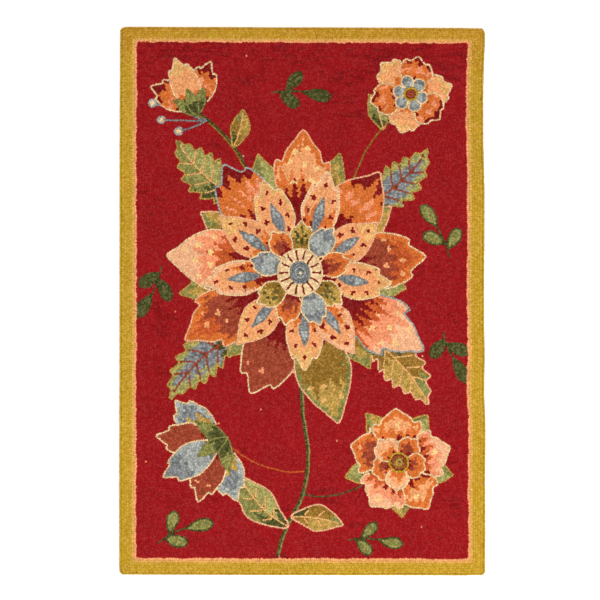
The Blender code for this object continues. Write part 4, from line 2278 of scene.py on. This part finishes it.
@dataclass
class Pile:
    """Every loop of the rug as meshes, one or more for each family of wools, in millimetres.

    Attributes:
        hooking: The places of the loops.
        rim: The rug's edge.
        thick: How long and how wide a loop is.
        thin: How long and how wide a loop of thinner yarn is.
        slant: How far a thinner loop turns from square across its row, in radians.
        top: How high the loops stand.
        foot: How far down they reach.
        uneven: How much higher or lower a loop may stand.
        growth: How much longer and narrower a loop comes out, as a share.
        stray: How far it strays from its place.
        tilt: How far its top leans from its foot.
        twist: How far it turns, in radians.
        held: How much of that is left to a loop on the edge and to a thinner one.
        rim_twist: How much of the twist is left to a loop on the edge.
        out: How far the top of a loop on the edge leans out.
        drop: How much lower it stands.
        most: How many loops a piece has at most.
    """

    hooking: Hooking
    rim: Rim
    thick: Point = (3.75, 2.95)
    thin: Point = (2.7, 1.95)
    slant: float = 0.65
    top: float = 9.2
    foot: float = 1.6
    uneven: float = 0.22
    growth: float = 0.05
    stray: float = 0.38
    tilt: float = 0.20
    twist: float = 0.32
    held: Point = (0.2, 0.65)
    rim_twist: float = 0.3
    out: float = 0.3
    drop: float = 0.6
    most: int = 6500

    SEED = 77
    RIM_LEAN = 0.5

    def __post_init__(self) -> None:
        """Works out how large each loop is and which way it lies."""
        self.places = np.array([self.hooking.x, self.hooking.y])
        self.wool = np.array(self.hooking.wool)
        self.is_thin = np.array(self.hooking.thin)
        self.size = np.where(self.is_thin, *(np.array([size]).T for size in (self.thin, self.thick)))
        self.lean = self.edge_lean()
        self.on_rim = np.hypot(*self.lean) > self.RIM_LEAN
        across = math.pi / 2 - np.where(self.is_thin, self.slant, 0.0)
        self.turn = np.array(self.hooking.turn) + np.where(self.on_rim, 0.0, across)
        self.chance = np.random.default_rng(self.SEED)

    def edge_lean(self) -> Array:
        """Finds which way each loop leans out over the edge.

        Returns:
            The x and the y of each lean, with a length of 1 in the outermost row.
        """
        lean = np.zeros_like(self.places)
        for edge in self.rim.edges:
            inset = edge.inward * (self.places[1 - edge.axis] - edge.at(self.places[edge.axis]))
            lean[1 - edge.axis] -= edge.inward * np.clip(1 - (inset - GAUGE.edge) / GAUGE.gap, 0, 1)
        return lean

    def lay(self, chosen: Array, form: LoopForm) -> tuple[Array, Array]:
        """Lays a loop at each of some places, each a little different.

        Args:
            chosen: The loops' indices.
            form: The loops' form.

        Returns:
            The points in the rug, in metres, and along and across each loop, in millimetres.
        """
        count = len(chosen)
        chance = self.chance
        on_rim = self.on_rim[chosen]
        turn = self.turn[chosen] + chance.normal(0, self.twist, count) * np.where(on_rim, self.rim_twist, 1.0)
        higher = chance.uniform(-self.uneven, self.uneven, count)
        grown = 1 + chance.normal(0, self.growth, count)
        size = (self.size[:, chosen] * (grown, 2 - grown)).T
        local = form.points() * np.column_stack([size, np.ones(count)])[:, None, :]
        on_edge, in_line = self.held
        held = np.where(on_rim, on_edge, np.where(self.is_thin[chosen], in_line, 1.0))[:, None]
        stray = chance.normal(0, self.stray, (count, 2)) * held
        lean = chance.normal(0, self.tilt, (count, 2)) * held + self.out * self.lean[:, chosen].T
        aside = stray[:, None, :] + lean[:, None, :] * form.rises()[None, :, None]
        cosine = np.cos(turn)[:, None]
        sine = np.sin(turn)[:, None]
        x, y = self.places[:, chosen, None]
        x = x + local[:, :, 0] * cosine - local[:, :, 1] * sine + aside[:, :, 0]
        y = y + local[:, :, 0] * sine + local[:, :, 1] * cosine + aside[:, :, 1]
        top = self.top + higher - self.drop * np.hypot(*self.lean[:, chosen])
        z = np.maximum(top[:, None] + local[:, :, 2], self.foot)
        return np.stack([x, y, z], axis=2).reshape(-1, 3) * MM, local[:, :, :2].reshape(-1, 2)

    def dress(self, mesh: bpy.types.Mesh, chosen: Array, form: LoopForm, along: Array) -> None:
        """Writes down what the wools' materials read: rise, shade and yarn.

        Args:
            mesh: The loops' mesh.
            chosen: Their indices.
            form: Their form.
            along: How far along and across its loop each point is.
        """
        count = len(chosen)
        rises = form.rises()
        shade, phase = (self.chance.uniform(0, most, count).repeat(len(rises)) for most in (1, 2 * math.pi))
        for name, kind, field, values in (
            ("rise", "FLOAT", "value", np.tile(rises, count)),
            ("shade", "FLOAT", "value", shade),
            ("yarn", "FLOAT_VECTOR", "vector", np.column_stack([along, phase])),
        ):
            attribute = mesh.attributes.new(name, kind, "POINT")
            attribute.data.foreach_set(field, values.ravel().astype(np.float32))

    def build_piece(
        self, chosen: Array, name: str, finishes: dict[Wool, bpy.types.Material], form: LoopForm
    ) -> bpy.types.Object:
        """Builds and dresses the mesh of some of the loops.

        Args:
            chosen: The loops' indices.
            name: The piece's name.
            finishes: The materials of the wools that they are in.
            form: The loops' form.

        Returns:
            The piece.
        """
        corners, along = self.lay(chosen, form)
        triangles = form.triangles()
        firsts = np.arange(len(chosen)) * len(form.rises())
        faces = (triangles[None, :, :] + firsts[:, None, None]).reshape(-1, 3)
        mesh = bpy.data.meshes.new(name)
        mesh.vertices.add(len(corners))
        mesh.vertices.foreach_set("co", corners.ravel())
        mesh.loops.add(faces.size)
        mesh.loops.foreach_set("vertex_index", faces.ravel())
        mesh.polygons.add(len(faces))
        mesh.polygons.foreach_set("loop_start", np.arange(len(faces)) * 3)
        numbers = [wool.number for wool in finishes]
        slots = np.array([numbers.index(number) for number in self.wool[chosen]])
        mesh.polygons.foreach_set("material_index", np.repeat(slots, len(triangles)))
        mesh.polygons.foreach_set("use_smooth", np.ones(len(faces), bool))
        mesh.update(calc_edges=True)
        for finish in finishes.values():
            mesh.materials.append(finish)
        self.dress(mesh, chosen, form, along)
        self.unfold(mesh, faces, form.cells(), len(chosen))
        return bpy.data.objects.new(name, mesh)

    @staticmethod
    def unfold(mesh: bpy.types.Mesh, faces: Array, cells: Array, count: int) -> None:
        """Lays the mesh out flat for the image of its colours, each loop in a cell of its own.

        Args:
            mesh: The mesh.
            faces: The points of each of its triangles.
            cells: The place of each of a loop's points in its cell.
            count: How many loops there are.
        """
        side = math.ceil(math.sqrt(count))
        index = np.arange(count)
        middles = np.stack([index % side + 0.5, index // side + 0.5], axis=1)
        places = ((middles[:, None, :] + cells[None, :, :]) / side).reshape(-1, 2)
        layer = mesh.uv_layers.new(name="OFBake")
        layer.uv.foreach_set("vector", places[faces.ravel()].ravel().astype(np.float32))

    def build(self) -> list[bpy.types.Object]:
        """Builds every piece of the pile.

        Returns:
            The pieces.
        """
        pieces = []
        finishes = {wool: WoolFinish(wool).material() for wool in Wool}
        for family in Family:
            of_family = {wool: finish for wool, finish in finishes.items() if wool.family is family}
            hooked = np.isin(self.wool, [wool.number for wool in of_family])
            for form, place, kind in ((RIM_LOOP, self.on_rim, "rim"), (INNER_LOOP, ~self.on_rim, "pile")):
                indices = np.flatnonzero(hooked & place)
                indices = indices[np.argsort(self.places[1, indices], kind="stable")]
                parts = np.array_split(indices, math.ceil(len(indices) / self.most)) if len(indices) else []
                for number, part in enumerate(parts, start=1):
                    name = f"{kind}_{family.name.lower()}_{number}"
                    pieces.append(self.build_piece(part, name, of_family, form))
                    fit(pieces[-1])
        return pieces


@dataclass(frozen=True)
class Foundation:
    """The woven cloth that the loops are hooked through.

    Attributes:
        rim: The rug's edge.
        inset: How far inside the pile's edge the cloth ends, in millimetres.
        thickness: How thick it is, in millimetres.
        roundness: How much its edge is rounded, in millimetres.
        flat: How wide and how long it is when it lies flat, in metres. It is not used.
    """

    rim: Rim
    inset: float = 1.3
    thickness: float = 2.0
    roundness: float = 0.6
    flat: Point = (0.508, 0.762)

    def build(self) -> bpy.types.Object:
        """Builds the cloth as one closed thin slab, in its finish.

        Returns:
            The cloth.
        """
        courses = (
            (self.inset + self.roundness, 0.0),
            (self.inset, self.roundness),
            (self.inset, self.thickness - self.roundness),
            (self.inset + self.roundness, self.thickness),
        )
        rings = []
        for inset, height in courses:
            ring = self.rim.ring(inset)
            rings.append(np.column_stack([ring, np.full(len(ring), height)]) * MM)
        count = len(rings[0])
        faces = [tuple(range(count))[::-1]]
        for course in range(len(rings) - 1):
            low = course * count
            for i in range(count):
                j = (i + 1) % count
                faces.append((low + i, low + j, low + count + j, low + count + i))
        faces.append(tuple(range((len(rings) - 1) * count, len(rings) * count)))
        mesh = bpy.data.meshes.new("foundation_cloth")
        mesh.from_pydata(np.vstack(rings).tolist(), [], faces)
        mesh.materials.append(ClothFinish().material())
        cloth = bpy.data.objects.new("foundation_cloth", mesh)
        fit(cloth)
        return cloth


# -------- The studio --------


@dataclass(frozen=True)
class Studio:
    """The pale floor, the soft light and the camera straight above the rug.

    Attributes:
        floor_size: How wide the floor is, in metres.
        camera_place: Where the camera is, in metres.
        lens: Its lens, in millimetres.
        sky: How bright the light from all round is.
        key_power: The power of the large lamp, in watts.
        key_place: Where it is, in metres.
        key_size: How wide it is, in metres.
    """

    floor_size: float = 30.0
    camera_place: Place = (-0.0033, 0.0017, 3.2095)
    lens: float = 138.2
    sky: float = 0.967
    key_power: float = 8.0
    key_place: Place = (0.30, -0.62, 1.3)
    key_size: float = 0.5

    SENSOR = 36.0
    CLIP_END = 100.0

    def floor(self) -> None:
        """Builds the floor."""
        half = self.floor_size / 2
        mesh = bpy.data.meshes.new("floor")
        corners = [(-half, -half, 0.0), (half, -half, 0.0), (half, half, 0.0), (-half, half, 0.0)]
        mesh.from_pydata(corners, [], [(0, 1, 2, 3)])
        mesh.materials.append(FloorFinish().material())
        floor = bpy.data.objects.new("floor", mesh)
        bpy.context.scene.collection.objects.link(floor)

    def camera(self) -> None:
        """Places the camera, looking straight down with the rug's top at the top of the picture."""
        camera = bpy.data.objects.new("camera", bpy.data.cameras.new("camera"))
        camera.data.lens = self.lens
        camera.data.sensor_width = self.SENSOR
        camera.data.clip_end = self.CLIP_END
        camera.location = self.camera_place
        bpy.context.scene.collection.objects.link(camera)
        bpy.context.scene.camera = camera

    def lights(self) -> None:
        """Sets the light: bright from all round, and a large soft lamp beyond the rug's lower side."""
        scene = bpy.context.scene
        world = bpy.data.worlds.new("studio")
        world.use_nodes = True
        background = world.node_tree.nodes["Background"]
        background.inputs["Color"].default_value = WHITE
        background.inputs["Strength"].default_value = self.sky
        scene.world = world
        lamp = bpy.data.lights.new("key", "AREA")
        lamp.shape = "DISK"
        lamp.size = self.key_size
        lamp.energy = self.key_power
        key = bpy.data.objects.new("key", lamp)
        key.location = self.key_place
        key.rotation_euler = (-Vector(self.key_place)).to_track_quat("-Z", "Y").to_euler()
        scene.collection.objects.link(key)
        scene.view_settings.view_transform = "Standard"

    def build(self) -> None:
        """Builds the studio."""
        self.camera()
        self.lights()
        self.floor()


def main() -> None:
    """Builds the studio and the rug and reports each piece."""
    logging.basicConfig(level=logging.INFO, format="%(name)s: %(message)s")
    Studio().build()
    chart = Chart()
    rim = Rim.of(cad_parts[NODE])
    border = Border(rim)
    border.draw_field(chart)
    Garden().draw(chart)
    border.draw_frame(chart)
    hooking = Hooking(chart)
    hooking.work()
    foundation = Foundation(rim)
    cloth = foundation.build()
    piles = Pile(hooking, rim).build()
    for piece in (cloth, *piles):
        LOG.info("%s: %d faces", piece.name, len(piece.data.polygons))


if __name__ == "__main__":
    main()
